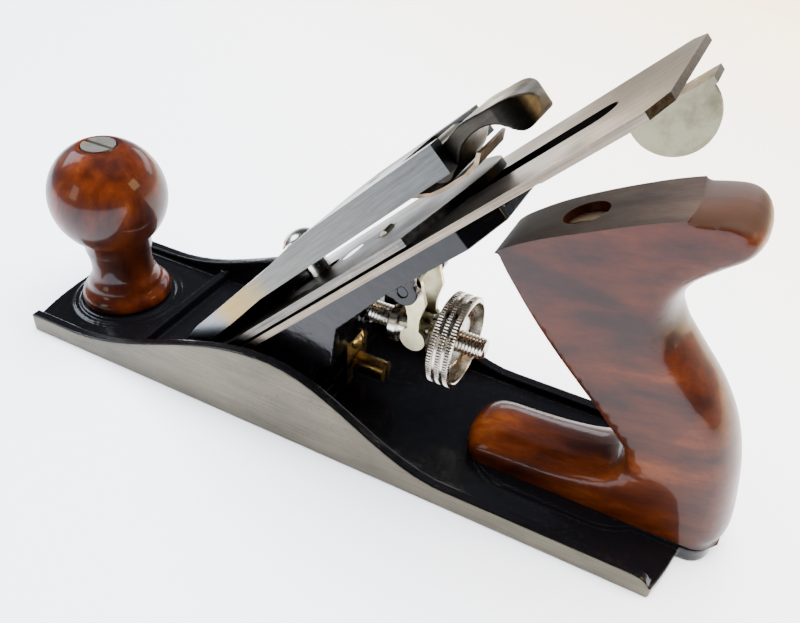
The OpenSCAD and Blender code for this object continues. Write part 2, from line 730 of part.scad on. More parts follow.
module cam_lever() {
    p = [cam_pin_s, cam_pin_n];
    half = cam_w / 2;
    body = [for (q = smooth([[-2.5, 4.2], [4.9, 3.4], [12.2, 5], [19, 4.6], [26, 3.7], [29.6, 0.8],
                             [29.2, -3.9], [26.6, -5.2], [24.2, -4.2], [21.2, -0.4], [16.3, 1.4],
                             [9.8, 0.3], [5.2, -3.6], [0, -4.4]], 3)) p + q];
    color("dimgray") on_bed() difference() {
        intersection() {
            union() {
                across(-half, half) polygon(body);
                across(-half, half) translate(p) circle(r = 4.8);
                across(-half, half) translate(p + [0.6, -cam_drop + 4]) circle(r = 4);
            }
            // rounded thumb end
            translate([0, 0, -big / 2]) linear_extrude(big) {
                translate([p[0] - 10, -half]) square([32, cam_w]);
                translate([p[0] + 30 - half, 0]) circle(r = half);
            }
        }
        translate([p[0], 0, p[1]]) rotate([90, 0, 0])
            cylinder(h = big, r = cam_pin_r + run_gap, center = true);
    }
}

module cam_pin() {
    color("silver") on_bed() translate([cam_pin_s, 0, cam_pin_n]) rotate([90, 0, 0])
        cylinder(h = 2 * cam_pin_out, r = cam_pin_r, center = true);
}

module lever_cap_spring() {
    n_top = cap_top_n - cap_shell;
    t = spring_t;
    rest_n = cam_pin_n - cam_drop - 0.2;
    c = cam_pin_s;
    r = spring_rivet_s;
    color("silver") on_bed() difference() {
        across(-spring_w / 2, spring_w / 2)
            polygon([[r - 6, n_top - t], [r - 6, n_top], [r + 4, n_top], [r + 11, n_top - 2.4],
                     [c - 6.5, rest_n + 0.5], [c - 2, rest_n], [c + 5, rest_n], [c + 9, rest_n + 0.9],
                     [c + 11.6, rest_n + 2.8], [c + 12.5, rest_n + 2.2], [c + 10, rest_n], [c + 5.6, rest_n - t],
                     [c - 2, rest_n - t], [c - 6.8, rest_n - t + 0.4], [r + 10.4, n_top - 2.4 - t],
                     [r + 3.7, n_top - t]]);
        bed_rod(spring_rivet_s, 0, 30, spring_rivet_r + eps);
    }
}

module spring_rivet() {
    n_top = cap_top_n - cap_shell;
    color("silver") on_bed() {
        bed_rod(spring_rivet_s, n_top - spring_t - 0.6, cap_top_n - 0.3, spring_rivet_r);
        bed_rod(spring_rivet_s, n_top - spring_t - 1.4, n_top - spring_t, spring_rivet_r + 1.4);
    }
}

module knob_profile() {
    z0 = knob_seat_z;
    neck_z = z0 + 13.5;
    ball = arc(0, knob_ball_z, knob_ball_r, -58, 69.4, 22);
    polygon(concat([[0, z0], [knob_foot_r - 0.8, z0]],
                   arc(knob_foot_r - 2.6, z0 + 3, 2.6, -42, 62, 5),
                   [[knob_foot_r - 2.4, z0 + 6.6], [knob_neck_r + 1, neck_z - 3.6],
                    [knob_neck_r, neck_z], [knob_neck_r - 0.2, neck_z + 4], [knob_neck_r - 0.3, neck_z + 8]],
                   ball, [[0, knob_top_z]]));
}

module front_knob() {
    color("saddlebrown") translate([knob_x, 0, 0]) difference() {
        rotate_extrude($fn = 96) knob_profile();
        translate([0, 0, -1]) cylinder(h = big, r = rod_r + 0.3);
        translate([0, 0, knob_top_z - nut_head_t]) cylinder(h = 20, r = nut_head_r + 0.15);
        translate([0, 0, knob_top_z - nut_head_t - nut_barrel_len - 0.5])
            cylinder(h = 40, r = nut_barrel_r + 0.2);
    }
}

// A rod with its foot at the origin
module rod(len) cylinder(h = len, r = rod_r);
// A barrel nut, top of its head at z = 0
module barrel_nut() {
    difference() {
        union() {
            translate([0, 0, -nut_head_t]) cylinder(h = nut_head_t, r = nut_head_r);
            translate([0, 0, -nut_head_t - nut_barrel_len]) cylinder(h = nut_barrel_len + eps, r = nut_barrel_r);
        }
        translate([0, 0, -nut_head_t - nut_barrel_len - 1]) cylinder(h = nut_barrel_len, r = rod_r + eps);
        driver_slot(nut_head_r, 1.2, 1.5);
    }
}

module knob_rod() {
    color("silver") translate([knob_x, 0, 1.4]) rod(knob_top_z - nut_head_t - 3.4 - 1.4);
}

module knob_nut() {
    color("silver") translate([knob_x, 0, knob_top_z + 0.2]) barrel_nut();
}

// Side view of the tote, from the front of its foot round by the horn
function tote_side() = let (x = heel_x, z = tote_seat_z)
    concat([[x - 80, z]], arc(x - 76.5, z + 4.8, 4.8, 180, 100, 5),
           [[x - 66, z + 10.2], [x - 54, z + 10.6], [x - 44, z + 11.4], [x - 35.4, z + 14]],
           [[x - 31.8, z + 19], [x - 34.4, z + 24]],
           [[x - 45, z + 35], [x - 59, z + 49], [x - 73.5, z + 64], [x - 80, z + 70.5]],
           [[x - 77, z + 75.4], [x - 68, z + 82.8], [x - 56, z + 89.8], [x - 42, z + 96.4], [x - 31, z + 100.3]],
           arc(x - 26.4, z + 94.6, 6.6, 105, -35, 8),
           [[x - 26, z + 86.4], [x - 31.6, z + 79.5], [x - 33, z + 74], [x - 31, z + 67.5]],
           [[x - 24, z + 58.5], [x - 15, z + 48.5], [x - 9, z + 38.5], [x - 4.8, z + 27],
            [x - 2.2, z + 14], [x - 0.9, z + 4], [x - 2.4, z]]);

module rear_tote() {
    half = tote_t / 2;
    color("saddlebrown") difference() {
        across(-half, half) polygon(tote_side());
        tote_axis() {
            translate([0, 0, -1]) cylinder(h = big, r = rod_r + 0.3);
            translate([0, 0, tote_nut_z() - nut_head_t]) cylinder(h = 40, r = nut_head_r + 0.15);
            translate([0, 0, tote_nut_z() - nut_head_t - nut_barrel_len - 0.5])
                cylinder(h = 60, r = nut_barrel_r + 0.2);
        }
    }
}

// Children drawn along the tote's rod, from the seat upwards
module tote_axis() translate([tote_rod_foot_x, 0, 1.4]) rotate([0, -tote_lean, 0]) children();
function tote_nut_z() = tote_stud_len + 6.3;

module tote_rod() {
    color("silver") tote_axis() rod(tote_stud_len);
}

module tote_nut() {
    color("silver") tote_axis() translate([0, 0, tote_nut_z()]) barrel_nut();
}

body_casting();
frog();
frog_screws();
frog_screw_washers();
frog_adjusting_screw();
frog_clip();
frog_clip_screw();
depth_stud();
depth_hub();
depth_wheel();
yoke();
yoke_pin();
lateral_lever();
lateral_rivet();
lateral_roller();
plane_iron();
cap_iron();
cap_iron_screw();
lever_cap();
lever_cap_screw();
cam_lever();
cam_pin();
lever_cap_spring();
spring_rivet();
front_knob();
knob_rod();
knob_nut();
rear_tote();
tote_rod();
tote_nut();
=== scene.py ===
"""Finished look of the smoothing plane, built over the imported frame.

Sizes inside the classes are in millimetres and turned into metres when a mesh
is made. Places are read from the boxes of the CAD nodes. Bed coordinates run
up the bed (s), across it (y) and square out of it (n).
"""

from __future__ import annotations

import logging
import math
from dataclasses import dataclass, field
from enum import Enum
from typing import Callable, Iterable, Sequence

import bmesh
import bpy
import numpy as np
from mathutils import Matrix, Vector, geometry


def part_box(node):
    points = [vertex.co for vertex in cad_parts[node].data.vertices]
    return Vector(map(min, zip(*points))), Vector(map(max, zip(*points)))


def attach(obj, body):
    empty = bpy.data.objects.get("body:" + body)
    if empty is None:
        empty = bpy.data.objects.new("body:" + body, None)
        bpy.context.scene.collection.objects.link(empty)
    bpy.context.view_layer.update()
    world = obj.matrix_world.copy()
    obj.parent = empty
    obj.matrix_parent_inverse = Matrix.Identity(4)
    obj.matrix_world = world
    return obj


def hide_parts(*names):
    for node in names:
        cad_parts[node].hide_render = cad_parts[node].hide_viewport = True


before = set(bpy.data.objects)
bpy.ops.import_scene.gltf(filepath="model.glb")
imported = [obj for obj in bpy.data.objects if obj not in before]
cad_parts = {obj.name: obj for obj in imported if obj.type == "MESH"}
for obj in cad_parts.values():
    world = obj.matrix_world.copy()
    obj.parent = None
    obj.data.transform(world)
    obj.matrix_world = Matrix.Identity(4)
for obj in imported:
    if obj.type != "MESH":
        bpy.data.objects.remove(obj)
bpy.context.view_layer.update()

LOG = logging.getLogger("plane")
MM = 0.001
TAU = 2 * math.pi
BEVEL_STEPS = 2
BEVEL_ABOVE_DEG = 32.0

DUST = "#4b463e"
PIT = "#2f2b25"
SCRATCH = "#f2ece0"
SPECK = "#3a3128"
# near black for the cap iron under the lever cap: painted shade with some grime
SHADE_AND_GRIME = "#0f0d0b"
SLOT_SHADE = "#0a0908"
FLANK_SHADE = "#141414"
PORE = "#240c07"
FLECK = "#1c0a06"
WOOD_STAIN = "#1d0c09"
AGED_WOOD = "#2c211a"

Point2 = tuple[float, float]
Point3 = tuple[float, float, float]
Material = bpy.types.Material
Object = bpy.types.Object
Socket = bpy.types.NodeSocket


# ---- small helpers


def srgb(code: str, alpha: float = 1.0) -> tuple[float, float, float, float]:
    """Turns an sRGB hex colour into linear light.

    Args:
        code: Colour as "#rrggbb".
        alpha: Opacity of the colour.

    Returns:
        Red, green, blue and alpha in linear light.
    """
    parts = [int(code[i : i + 2], 16) / 255 for i in (1, 3, 5)]
    linear = [c / 12.92 if c <= 0.04045 else ((c + 0.055) / 1.055) ** 2.4 for c in parts]
    return linear[0], linear[1], linear[2], alpha


def node(name: str) -> Object:
    """Returns the CAD node called name."""
    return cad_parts[name]


def box_mm(name: str) -> tuple[np.ndarray, np.ndarray]:
    """Reads the box of a CAD node.

    Args:
        name: Name of the CAD node.

    Returns:
        Lowest and highest corner in millimetres.
    """
    low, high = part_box(name)
    return np.array(low) / MM, np.array(high) / MM


def mesh_object(
    name: str,
    verts: Sequence[Sequence[float]],
    faces: Sequence[Sequence[int]],
    materials: Sequence[Material],
    slots: Sequence[int] | None = None,
    crisp_deg: float = 40.0,
) -> Object:
    """Makes a mesh object from millimetre coordinates.

    Args:
        name: Name of the object.
        verts: Vertex positions in millimetres.
        faces: Vertex indices of each face.
        materials: Materials in slot order.
        slots: Material slot of each face, all the first if left out.
        crisp_deg: Edges sharper than this stay crisp.

    Returns:
        The new object, linked to the scene.
    """
    mesh = bpy.data.meshes.new(name)
    mesh.from_pydata([tuple(c * MM for c in v) for v in verts], [], [tuple(f) for f in faces])
    for material in materials:
        mesh.materials.append(material)
    if slots is not None:
        mesh.polygons.foreach_set("material_index", list(slots))
    mesh.validate()
    obj = bpy.data.objects.new(name, mesh)
    bpy.context.scene.collection.objects.link(obj)
    work = bmesh.new()
    work.from_mesh(mesh)
    bmesh.ops.remove_doubles(work, verts=work.verts, dist=1e-7)
    bmesh.ops.recalc_face_normals(work, faces=work.faces)
    for face in work.faces:
        face.smooth = True
    for edge in work.edges:
        if len(edge.link_faces) == 2:
            edge.smooth = edge.calc_face_angle(0) < math.radians(crisp_deg)
    work.to_mesh(mesh)
    work.free()
    return obj


def ring_faces(rings: int, steps: int) -> list[list[int]]:
    """Joins rings of vertices, steps in each, with four-sided faces."""
    faces: list[list[int]] = []
    for i in range(rings - 1):
        for k in range(steps):
            after = (k + 1) % steps
            faces.append([i * steps + k, i * steps + after, (i + 1) * steps + after, (i + 1) * steps + k])
    return faces


def lathe(
    profile: Sequence[Point2], steps: int, radius_at: Callable[[float, int], float] | None = None
) -> tuple[list[Point3], list[list[int]]]:
    """Turns a profile round the x axis.

    Args:
        profile: Pairs of place along the axis and radius.
        steps: Number of places round the axis.
        radius_at: Change of radius for an angle and a profile index.

    Returns:
        Vertices and faces of the turned surface.
    """
    verts: list[Point3] = []
    for i, (along, radius) in enumerate(profile):
        for k in range(steps):
            angle = TAU * k / steps
            r = radius + (radius_at(angle, i) if radius_at else 0.0)
            verts.append((along, r * math.cos(angle), r * math.sin(angle)))
    return verts, ring_faces(len(profile), steps)


def spline(points: Sequence[Point2], steps: int) -> list[Point2]:
    """Runs a smooth curve through points.

    Args:
        points: Points the curve passes through.
        steps: Pieces between one point and the next.

    Returns:
        Points along the curve.
    """
    last = len(points) - 1
    out: list[Point2] = []
    for i in range(last):
        a, b, c, d = (np.array(points[min(max(i + k, 0), last)], float) for k in (-1, 0, 1, 2))
        for k in range(steps):
            t = k / steps
            square = (2 * a - 5 * b + 4 * c - d) * t**2
            cube = (3 * b - a - 3 * c + d) * t**3
            p = 0.5 * (2 * b + (c - a) * t + square + cube)
            out.append((float(p[0]), float(p[1])))
    out.append((float(points[-1][0]), float(points[-1][1])))
    return out


def arc(cx: float, cy: float, r: float, a0: float, a1: float, steps: int) -> list[Point2]:
    """Returns points of an arc, angles in degrees."""
    angles = [math.radians(a0 + (a1 - a0) * i / steps) for i in range(steps + 1)]
    return [(cx + r * math.cos(a), cy + r * math.sin(a)) for a in angles]


def place(obj: Object, matrix: Matrix) -> Object:
    """Moves the vertices of obj by a matrix given in millimetres."""
    shift = Matrix.Translation(matrix.to_translation() * MM) @ matrix.to_3x3().to_4x4()
    obj.data.transform(shift)
    return obj


def along_z(x: float, y: float, z: float, tilt_deg: float = 0.0) -> Matrix:
    """Matrix that stands a piece turned about the x axis on a point, tilted towards the toe.

    Args:
        x: Place along the sole.
        y: Place across the sole.
        z: Height of the point.
        tilt_deg: Lean of the axis towards the toe.

    Returns:
        The placing matrix in millimetres.
    """
    lean = Matrix.Rotation(math.radians(-tilt_deg), 4, "Y")
    return Matrix.Translation((x, y, z)) @ lean @ Matrix.Rotation(math.radians(-90), 4, "Y")


def bevel(obj: Object, width: float) -> None:
    """Breaks the sharp edges of obj.

    Args:
        obj: Object that gets the modifier.
        width: Width of the broken edge in millimetres.
    """
    mod = obj.modifiers.new("EdgeBreak", "BEVEL")
    mod.width = width * MM
    mod.segments = BEVEL_STEPS
    mod.limit_method = "ANGLE"
    mod.angle_limit = math.radians(BEVEL_ABOVE_DEG)
    mod.harden_normals = False
    smooth_by_angle(obj)


def smooth_by_angle(obj: Object, angle: float = 30.0) -> None:
    """Shades obj smooth apart from edges sharper than angle degrees."""
    mesh = obj.data
    mesh.polygons.foreach_set("use_smooth", [True] * len(mesh.polygons))
    work = bmesh.new()
    work.from_mesh(mesh)
    limit = math.radians(angle)
    sharp = [len(e.link_faces) != 2 or e.calc_face_angle(0) > limit for e in work.edges]
    work.free()
    if len(sharp) == len(mesh.edges):
        mesh.edges.foreach_set("use_edge_sharp", sharp)


def cast_skin(obj: Object, voxel: float, smoothing: int) -> None:
    """Gives obj the rounded edges of a painted casting.

    Args:
        obj: Object that gets the modifiers.
        voxel: Size of the new mesh in millimetres.
        smoothing: Number of smoothing passes.
    """
    weld = obj.modifiers.new("Weld", "WELD")
    weld.merge_threshold = 0.001 * MM
    remesh = obj.modifiers.new("Skin", "REMESH")
    remesh.mode = "VOXEL"
    remesh.voxel_size = voxel * MM
    remesh.use_smooth_shade = True
    soft = obj.modifiers.new("Soft", "SMOOTH")
    soft.factor = 0.5
    soft.iterations = smoothing


def dress(obj: Object, material: Material) -> None:
    """Gives obj one material in place of those it has."""
    obj.data.materials.clear()
    obj.data.materials.append(material)


# ---- materials


def set_stops(ramp: bpy.types.ColorRamp, stops: Sequence[tuple[float, str]]) -> None:
    """Sets the stops of a colour ramp, given as pairs of place and sRGB hex colour."""
    while len(ramp.elements) < len(stops):
        ramp.elements.new(0.5)
    for element, (at, colour) in zip(ramp.elements, stops):
        element.position = at
        element.color = srgb(colour)


class Shader:
    """Small builder for a material's node tree."""

    def __init__(self, name: str) -> None:
        """Starts an empty material.

        Args:
            name: Name of the material.
        """
        self.material = bpy.data.materials.new(name)
        self.material.use_nodes = True
        self.tree = self.material.node_tree
        self.tree.nodes.clear()
        self.output = self.add("ShaderNodeOutputMaterial")
        self.coords = self.add("ShaderNodeTexCoord").outputs["Object"]

    def add(self, kind: str, inputs: dict | None = None, **props: object) -> bpy.types.Node:
        """Adds one node.

        Args:
            kind: Blender's name of the node type.
            inputs: Values or output sockets, by input name or index.
            props: Attributes of the node.

        Returns:
            The new node.
        """
        made = self.tree.nodes.new(kind)
        for key, value in props.items():
            setattr(made, key, value)
        for key, value in (inputs or {}).items():
            socket = made.inputs[key]
            if isinstance(value, Socket):
                self.tree.links.new(value, socket)
            else:
                socket.default_value = value
        return made

    def math(self, kind: str, a: object, b: object = 0.0) -> Socket:
        """Adds a math node and returns its output."""
        return self.add("ShaderNodeMath", {0: a, 1: b}, operation=kind).outputs[0]

    def weigh(self, a: object, share_a: float, b: object, share_b: float) -> Socket:
        """Adds two values by their shares and returns the socket."""
        return self.math("ADD", self.math("MULTIPLY", a, share_a), self.math("MULTIPLY", b, share_b))

    def place(self) -> bpy.types.Node:
        """Splits the object coordinates, in metres."""
        return self.add("ShaderNodeSeparateXYZ", {"Vector": self.coords})

    def facing(self) -> bpy.types.Node:
        """Splits the surface normal."""
        normal = self.add("ShaderNodeTexCoord").outputs["Normal"]
        return self.add("ShaderNodeSeparateXYZ", {"Vector": normal})

    def mapped(self, per_mm: Point3, turn_deg: float = 0.0) -> Socket:
        """Object coordinates turned about y and scaled.

        Args:
            per_mm: Repeats per millimetre on each axis.
            turn_deg: Turn about the y axis.

        Returns:
            The vector socket.
        """
        turned = self.add(
            "ShaderNodeMapping",
            {"Vector": self.coords, "Rotation": (0.0, math.radians(turn_deg), 0.0)},
        ).outputs[0]
        return self.add(
            "ShaderNodeMapping", {"Vector": turned, "Scale": tuple(c / MM for c in per_mm)}
        ).outputs[0]

    def noise(
        self, vector: Socket, detail: float, rough: float = 0.5
    ) -> Socket:
        """Adds noise of scale one over the vector and returns its value."""
        made = self.add(
            "ShaderNodeTexNoise", {"Vector": vector, "Scale": 1.0, "Detail": detail, "Roughness": rough}
        )
        return made.outputs["Fac"]

    def ramp(self, fac: Socket, stops: Sequence[tuple[float, str]]) -> Socket:
        """Adds a colour ramp.

        Args:
            fac: Value that is looked up.
            stops: Pairs of place and sRGB hex colour.

        Returns:
            The colour socket.
        """
        made = self.add("ShaderNodeValToRGB", {"Fac": fac})
        set_stops(made.color_ramp, stops)
        return made.outputs["Color"]

    def span(
        self, fac: object, low: float, high: float, to_low: float = 0.0, to_high: float = 1.0
    ) -> Socket:
        """Maps a value from one span to another, clamped, and returns the socket."""
        return self.add(
            "ShaderNodeMapRange",
            {"Value": fac, "From Min": low, "From Max": high, "To Min": to_low, "To Max": to_high},
        ).outputs[0]

    def mix(self, fac: object, a: object, b: object) -> Socket:
        """Mixes two colours and returns the socket."""
        made = self.add("ShaderNodeMix", data_type="RGBA")
        for socket, value in ((made.inputs[0], fac), (made.inputs[6], a), (made.inputs[7], b)):
            if isinstance(value, Socket):
                self.tree.links.new(value, socket)
            else:
                socket.default_value = value
        return made.outputs[2]

    def bump(self, height: Socket, depth_mm: float) -> Socket:
        """Adds a bump of the given depth and returns the normal."""
        inputs = {"Height": height, "Strength": 1.0, "Distance": depth_mm * MM}
        return self.add("ShaderNodeBump", inputs).outputs[0]

    def surface(self, inputs: dict) -> bpy.types.Node:
        """Adds a principled surface."""
        return self.add("ShaderNodeBsdfPrincipled", inputs)

    def finish(self, socket: Socket) -> Material:
        """Joins a shader to the output and returns the material."""
        self.tree.links.new(socket, self.output.inputs["Surface"])
        return self.material


@dataclass(frozen=True)
class Japanning:
    """Gloss black stoving enamel on rough castings."""

    name: str = "japanning"
    colour: str = "#08080a"
    gloss: float = 0.13

    def nodes(self, sh: Shader) -> bpy.types.Node:
        """Adds the surface to a shader and returns its node."""
        waves = sh.noise(sh.mapped((0.22, 0.22, 0.22)), 2.0)
        grit = sh.noise(sh.mapped((1.6, 1.6, 1.6)), 3.0, 0.6)
        height = sh.weigh(waves, 1.0, grit, 0.16)
        dust = sh.span(sh.noise(sh.mapped((0.9, 0.9, 0.9)), 5.0, 0.7), 0.60, 0.78)
        tint = sh.mix(sh.math("MULTIPLY", dust, 0.25), srgb(self.colour), srgb(DUST))
        return sh.surface(
            {
                "Base Color": tint,
                "Roughness": sh.span(grit, 0.3, 0.7, self.gloss, self.gloss + 0.10),
                "Specular IOR Level": 0.16,
                "Coat Weight": 0.26,
                "Coat Roughness": 0.07,
                "Normal": sh.bump(height, 0.30),
            }
        )

    def build(self) -> Material:
        """Returns the finished material."""
        sh = Shader(self.name)
        return sh.finish(self.nodes(sh).outputs[0])


@dataclass(frozen=True)
class GroundIron:
    """Ground cast iron: warm grey, faint lengthwise marks and small pits."""

    light: str = "#686254"
    dark: str = "#3d3930"

    def nodes(self, sh: Shader) -> bpy.types.Node:
        """Adds the surface to a shader and returns its node."""
        marks = sh.noise(sh.mapped((0.05, 1.2, 2.6)), 4.0, 0.6)
        cloud = sh.noise(sh.mapped((0.035, 0.05, 0.08)), 4.0, 0.6)
        pits = sh.span(sh.noise(sh.mapped((1.3, 1.3, 1.3)), 4.0, 0.65), 0.60, 0.70)
        base = sh.ramp(sh.weigh(marks, 0.35, cloud, 0.65), [(0.32, self.dark), (0.68, self.light)])
        tint = sh.mix(sh.math("MULTIPLY", pits, 0.75), base, srgb(PIT))
        height = sh.math("SUBTRACT", sh.math("MULTIPLY", marks, 0.4), sh.math("MULTIPLY", pits, 0.9))
        return sh.surface(
            {
                "Base Color": tint,
                "Metallic": 0.85,
                "Roughness": sh.span(cloud, 0.3, 0.7, 0.36, 0.50),
                "Normal": sh.bump(height, 0.05),
            }
        )


@dataclass(frozen=True)
class PaintedCasting:
    """Sole casting: enamel inside, ground metal on the cheeks and the sole."""

    name: str = "sole_casting"
    half_width: float = 30.5
    cheek_from: float = 1.6
    cheek_to: float = 1.2

    def build(self) -> Material:
        """Returns the material, with the bare faces picked by place and facing."""
        sh = Shader(self.name)
        enamel = Japanning().nodes(sh)
        metal = GroundIron().nodes(sh)
        where = sh.place()
        facing = sh.facing()
        chips = sh.noise(sh.mapped((0.5, 0.5, 0.5)), 4.0, 0.7)
        ragged = sh.math("MULTIPLY", sh.math("SUBTRACT", chips, 0.5), 0.28)
        outward = sh.math("ADD", sh.math("ABSOLUTE", facing.outputs[1]), ragged)
        at_cheek = sh.span(
            sh.math("ABSOLUTE", where.outputs[1]),
            (self.half_width - self.cheek_from) * MM,
            (self.half_width - self.cheek_to) * MM,
        )
        side = sh.math("MULTIPLY", sh.span(outward, 0.70, 0.78), at_cheek)
        downward = sh.span(sh.math("MULTIPLY", facing.outputs[2], -1.0), 0.6, 0.8)
        at_sole = sh.span(where.outputs[2], 0.6 * MM, 0.4 * MM)
        bare = sh.math("MAXIMUM", side, sh.math("MULTIPLY", downward, at_sole))
        mixed = sh.add("ShaderNodeMixShader", {0: bare, 1: enamel.outputs[0], 2: metal.outputs[0]})
        return sh.finish(mixed.outputs[0])


@dataclass(frozen=True)
class BrushedSteel:
    """Steel with straight marks along the bed.

    Half widths are measured from the middle of the plane, and the places of
    the bands run up the bed, all in millimetres. The bands are mostly painted
    reflections; the darkened middle is painted shade with some grime, and
    the dark slot walls and flanks are painted shade.
    """

    name: str
    light: str
    dark: str
    rough: float = 0.30
    along: float = 0.03
    across: float = 1.6
    turn_deg: float = 45.0
    blotch: float = 0.35
    scratch: float = 0.08
    shaded_half: float = 0.0
    slot_half: float = 0.0
    flank_dark: float = 0.0
    bands: tuple[tuple[float, str], ...] = ()
    reflection_share: float = 0.78
    reflection_waver: float = 6.0
    shade_fade: float = 2.5
    slot_fade: float = 0.5

    def build(self) -> Material:
        """Returns the material."""
        sh = Shader(self.name)
        lines = sh.noise(sh.mapped((self.along, self.across, self.across * 1.5), self.turn_deg), 5.0, 0.65)
        fine = sh.noise(sh.mapped((self.along * 3, self.across * 3, self.across * 4), self.turn_deg), 2.0)
        cloud = sh.noise(sh.mapped((0.04, 0.05, 0.07)), 4.0, 0.62)
        cross = sh.noise(sh.mapped((1.4, 0.05, 0.4), self.turn_deg), 2.0)
        cut = sh.math("MULTIPLY", sh.span(cross, 0.64, 0.72), self.scratch)
        tone = sh.weigh(lines, 1 - self.blotch, cloud, self.blotch)
        base = sh.ramp(tone, [(0.34, self.dark), (0.64, self.light)])
        tint = sh.mix(cut, base, srgb(SCRATCH))
        specks = sh.span(sh.noise(sh.mapped((0.8, 0.8, 0.8)), 5.0, 0.75), 0.66, 0.74)
        tint = sh.mix(sh.math("MULTIPLY", specks, 0.5), tint, srgb(SPECK))
        where = sh.place()
        off_middle = sh.math("ABSOLUTE", where.outputs[1])
        # paints reflections as colour bands up the bed: golden and grey bands are painted reflection, the
        # pale bluish nose partly the steel's own finish
        if self.bands:
            rise = sh.math("ADD", where.outputs[0], where.outputs[2])
            up_bed = sh.math("MULTIPLY", rise, math.sqrt(0.5) / MM)
            wavering = sh.math("ADD", up_bed, sh.math("MULTIPLY", cloud, self.reflection_waver))
            first, last = self.bands[0][0], self.bands[-1][0]
            stops = [((at - first) / (last - first), colour) for at, colour in self.bands]
            painted_reflection = sh.ramp(sh.span(wavering, first, last), stops)
            tint = sh.mix(self.reflection_share, tint, painted_reflection)
        # darkens the middle of the cap iron under the lever cap: painted shade there, with some grime
        if self.shaded_half:
            edge = self.shaded_half + self.shade_fade
            shade_and_grime = sh.span(off_middle, self.shaded_half * MM, edge * MM, 0.94, 0.0)
            tint = sh.mix(shade_and_grime, tint, srgb(SHADE_AND_GRIME))
        sideways = sh.span(sh.math("ABSOLUTE", sh.facing().outputs[1]), 0.5, 0.7)
        if self.slot_half:
            inside = (self.slot_half - self.slot_fade) * MM
            inner = sh.span(off_middle, inside, self.slot_half * MM, 1.0, 0.0)
            tint = sh.mix(sh.math("MULTIPLY", sideways, inner), tint, srgb(SLOT_SHADE))
        if self.flank_dark:
            tint = sh.mix(sh.math("MULTIPLY", sideways, self.flank_dark), tint, srgb(FLANK_SHADE))
        height = sh.weigh(lines, 0.7, fine, 0.3)
        made = sh.surface(
            {
                "Base Color": tint,
                "Metallic": 1.0,
                "Roughness": sh.span(cloud, 0.3, 0.7, self.rough, self.rough + 0.14),
                "Anisotropic": 0.5,
                "Normal": sh.bump(height, 0.012),
            }
        )
        return sh.finish(made.outputs[0])


@dataclass(frozen=True)
class Plate:
    """Plated or turned metal."""

    name: str
    colour: str
    stain: str
    rough: float = 0.2
    stain_amount: float = 0.4

    def build(self) -> Material:
        """Returns the material."""
        sh = Shader(self.name)
        cloud = sh.noise(sh.mapped((0.16, 0.16, 0.16)), 5.0, 0.65)
        fine = sh.noise(sh.mapped((0.6, 0.6, 0.6)), 3.0)
        dirt = sh.math("MULTIPLY", sh.span(cloud, 0.46, 0.70), self.stain_amount)
        made = sh.surface(
            {
                "Base Color": sh.mix(dirt, srgb(self.colour), srgb(self.stain)),
                "Metallic": 1.0,
                "Roughness": sh.span(cloud, 0.35, 0.7, self.rough, self.rough + 0.2),
                "Normal": sh.bump(fine, 0.006),
            }
        )
        return sh.finish(made.outputs[0])


class Grain(Enum):
    """Direction of the grain in a grip, in degrees above the sole."""

    ALONG_SOLE = 12.0
    UPRIGHT = 78.0


@dataclass(frozen=True)
class StainedBeech:
    """Red-brown stained beech under a thick gloss lacquer.

    Above the height aged_above the faces that look up are dull and grey.
    """

    name: str
    grain: Grain
    worn: bool = False
    aged_above: float = 0.0
    aged_fade: float = 6.0

    def build(self) -> Material:
        """Returns the material."""
        sh = Shader(self.name)
        turn = self.grain.value
        waver = sh.noise(sh.mapped((0.012, 0.03, 0.03), turn), 2.0)
        figure = sh.noise(sh.mapped((0.03, 0.085, 0.085), turn), 5.0, 0.62)
        pores = sh.noise(sh.mapped((0.11, 1.9, 1.9), turn), 3.0, 0.7)
        flecks = sh.span(sh.noise(sh.mapped((0.32, 2.4, 2.4), turn), 2.0), 0.60, 0.72)
        tone = sh.weigh(figure, 0.72, waver, 0.28)
        if self.worn:
            stops = [(0.30, "#15100d"), (0.48, "#2b211c"), (0.68, "#44372e")]
        else:
            stops = [(0.30, "#160503"), (0.43, "#2b0d04"), (0.56, "#4a1d07"), (0.70, "#773a10")]
        base = sh.ramp(tone, stops)
        base = sh.mix(sh.span(pores, 0.52, 0.74, 0.0, 0.42), base, srgb(PORE))
        base = sh.mix(sh.math("MULTIPLY", flecks, 0.25), base, srgb(FLECK))
        stain = sh.span(sh.noise(sh.mapped((0.045, 0.05, 0.05)), 4.0, 0.6), 0.55, 0.72)
        base = sh.mix(sh.math("MULTIPLY", stain, 0.5), base, srgb(WOOD_STAIN))
        coat: object = 0.05 if self.worn else 0.34
        if self.aged_above:
            upward = sh.span(sh.facing().outputs[2], 0.25, 0.80)
            high = sh.span(
                sh.place().outputs[2], self.aged_above * MM, (self.aged_above + self.aged_fade) * MM
            )
            aged = sh.math("MULTIPLY", upward, high)
            base = sh.mix(sh.math("MULTIPLY", aged, 0.88), base, srgb(AGED_WOOD))
            coat = sh.math("MULTIPLY", sh.math("SUBTRACT", 1.0, aged), coat)
        made = sh.surface(
            {
                "Base Color": base,
                "Roughness": 0.6 if self.worn else 0.42,
                "Specular IOR Level": 0.10,
                "Coat Weight": coat,
                "Coat Roughness": 0.4 if self.worn else 0.07,
                "Coat IOR": 1.5,
                "Normal": sh.bump(pores, 0.05 if self.worn else 0.012),
                "Coat Normal": sh.bump(sh.noise(sh.mapped((0.12, 0.12, 0.12)), 2.0), 0.12),
            }
        )
        return sh.finish(made.outputs[0])


def built(look: Japanning | PaintedCasting | BrushedSteel | Plate | StainedBeech) -> Material:
    """Declares a field that holds the material of a look."""
    return field(default_factory=look.build)


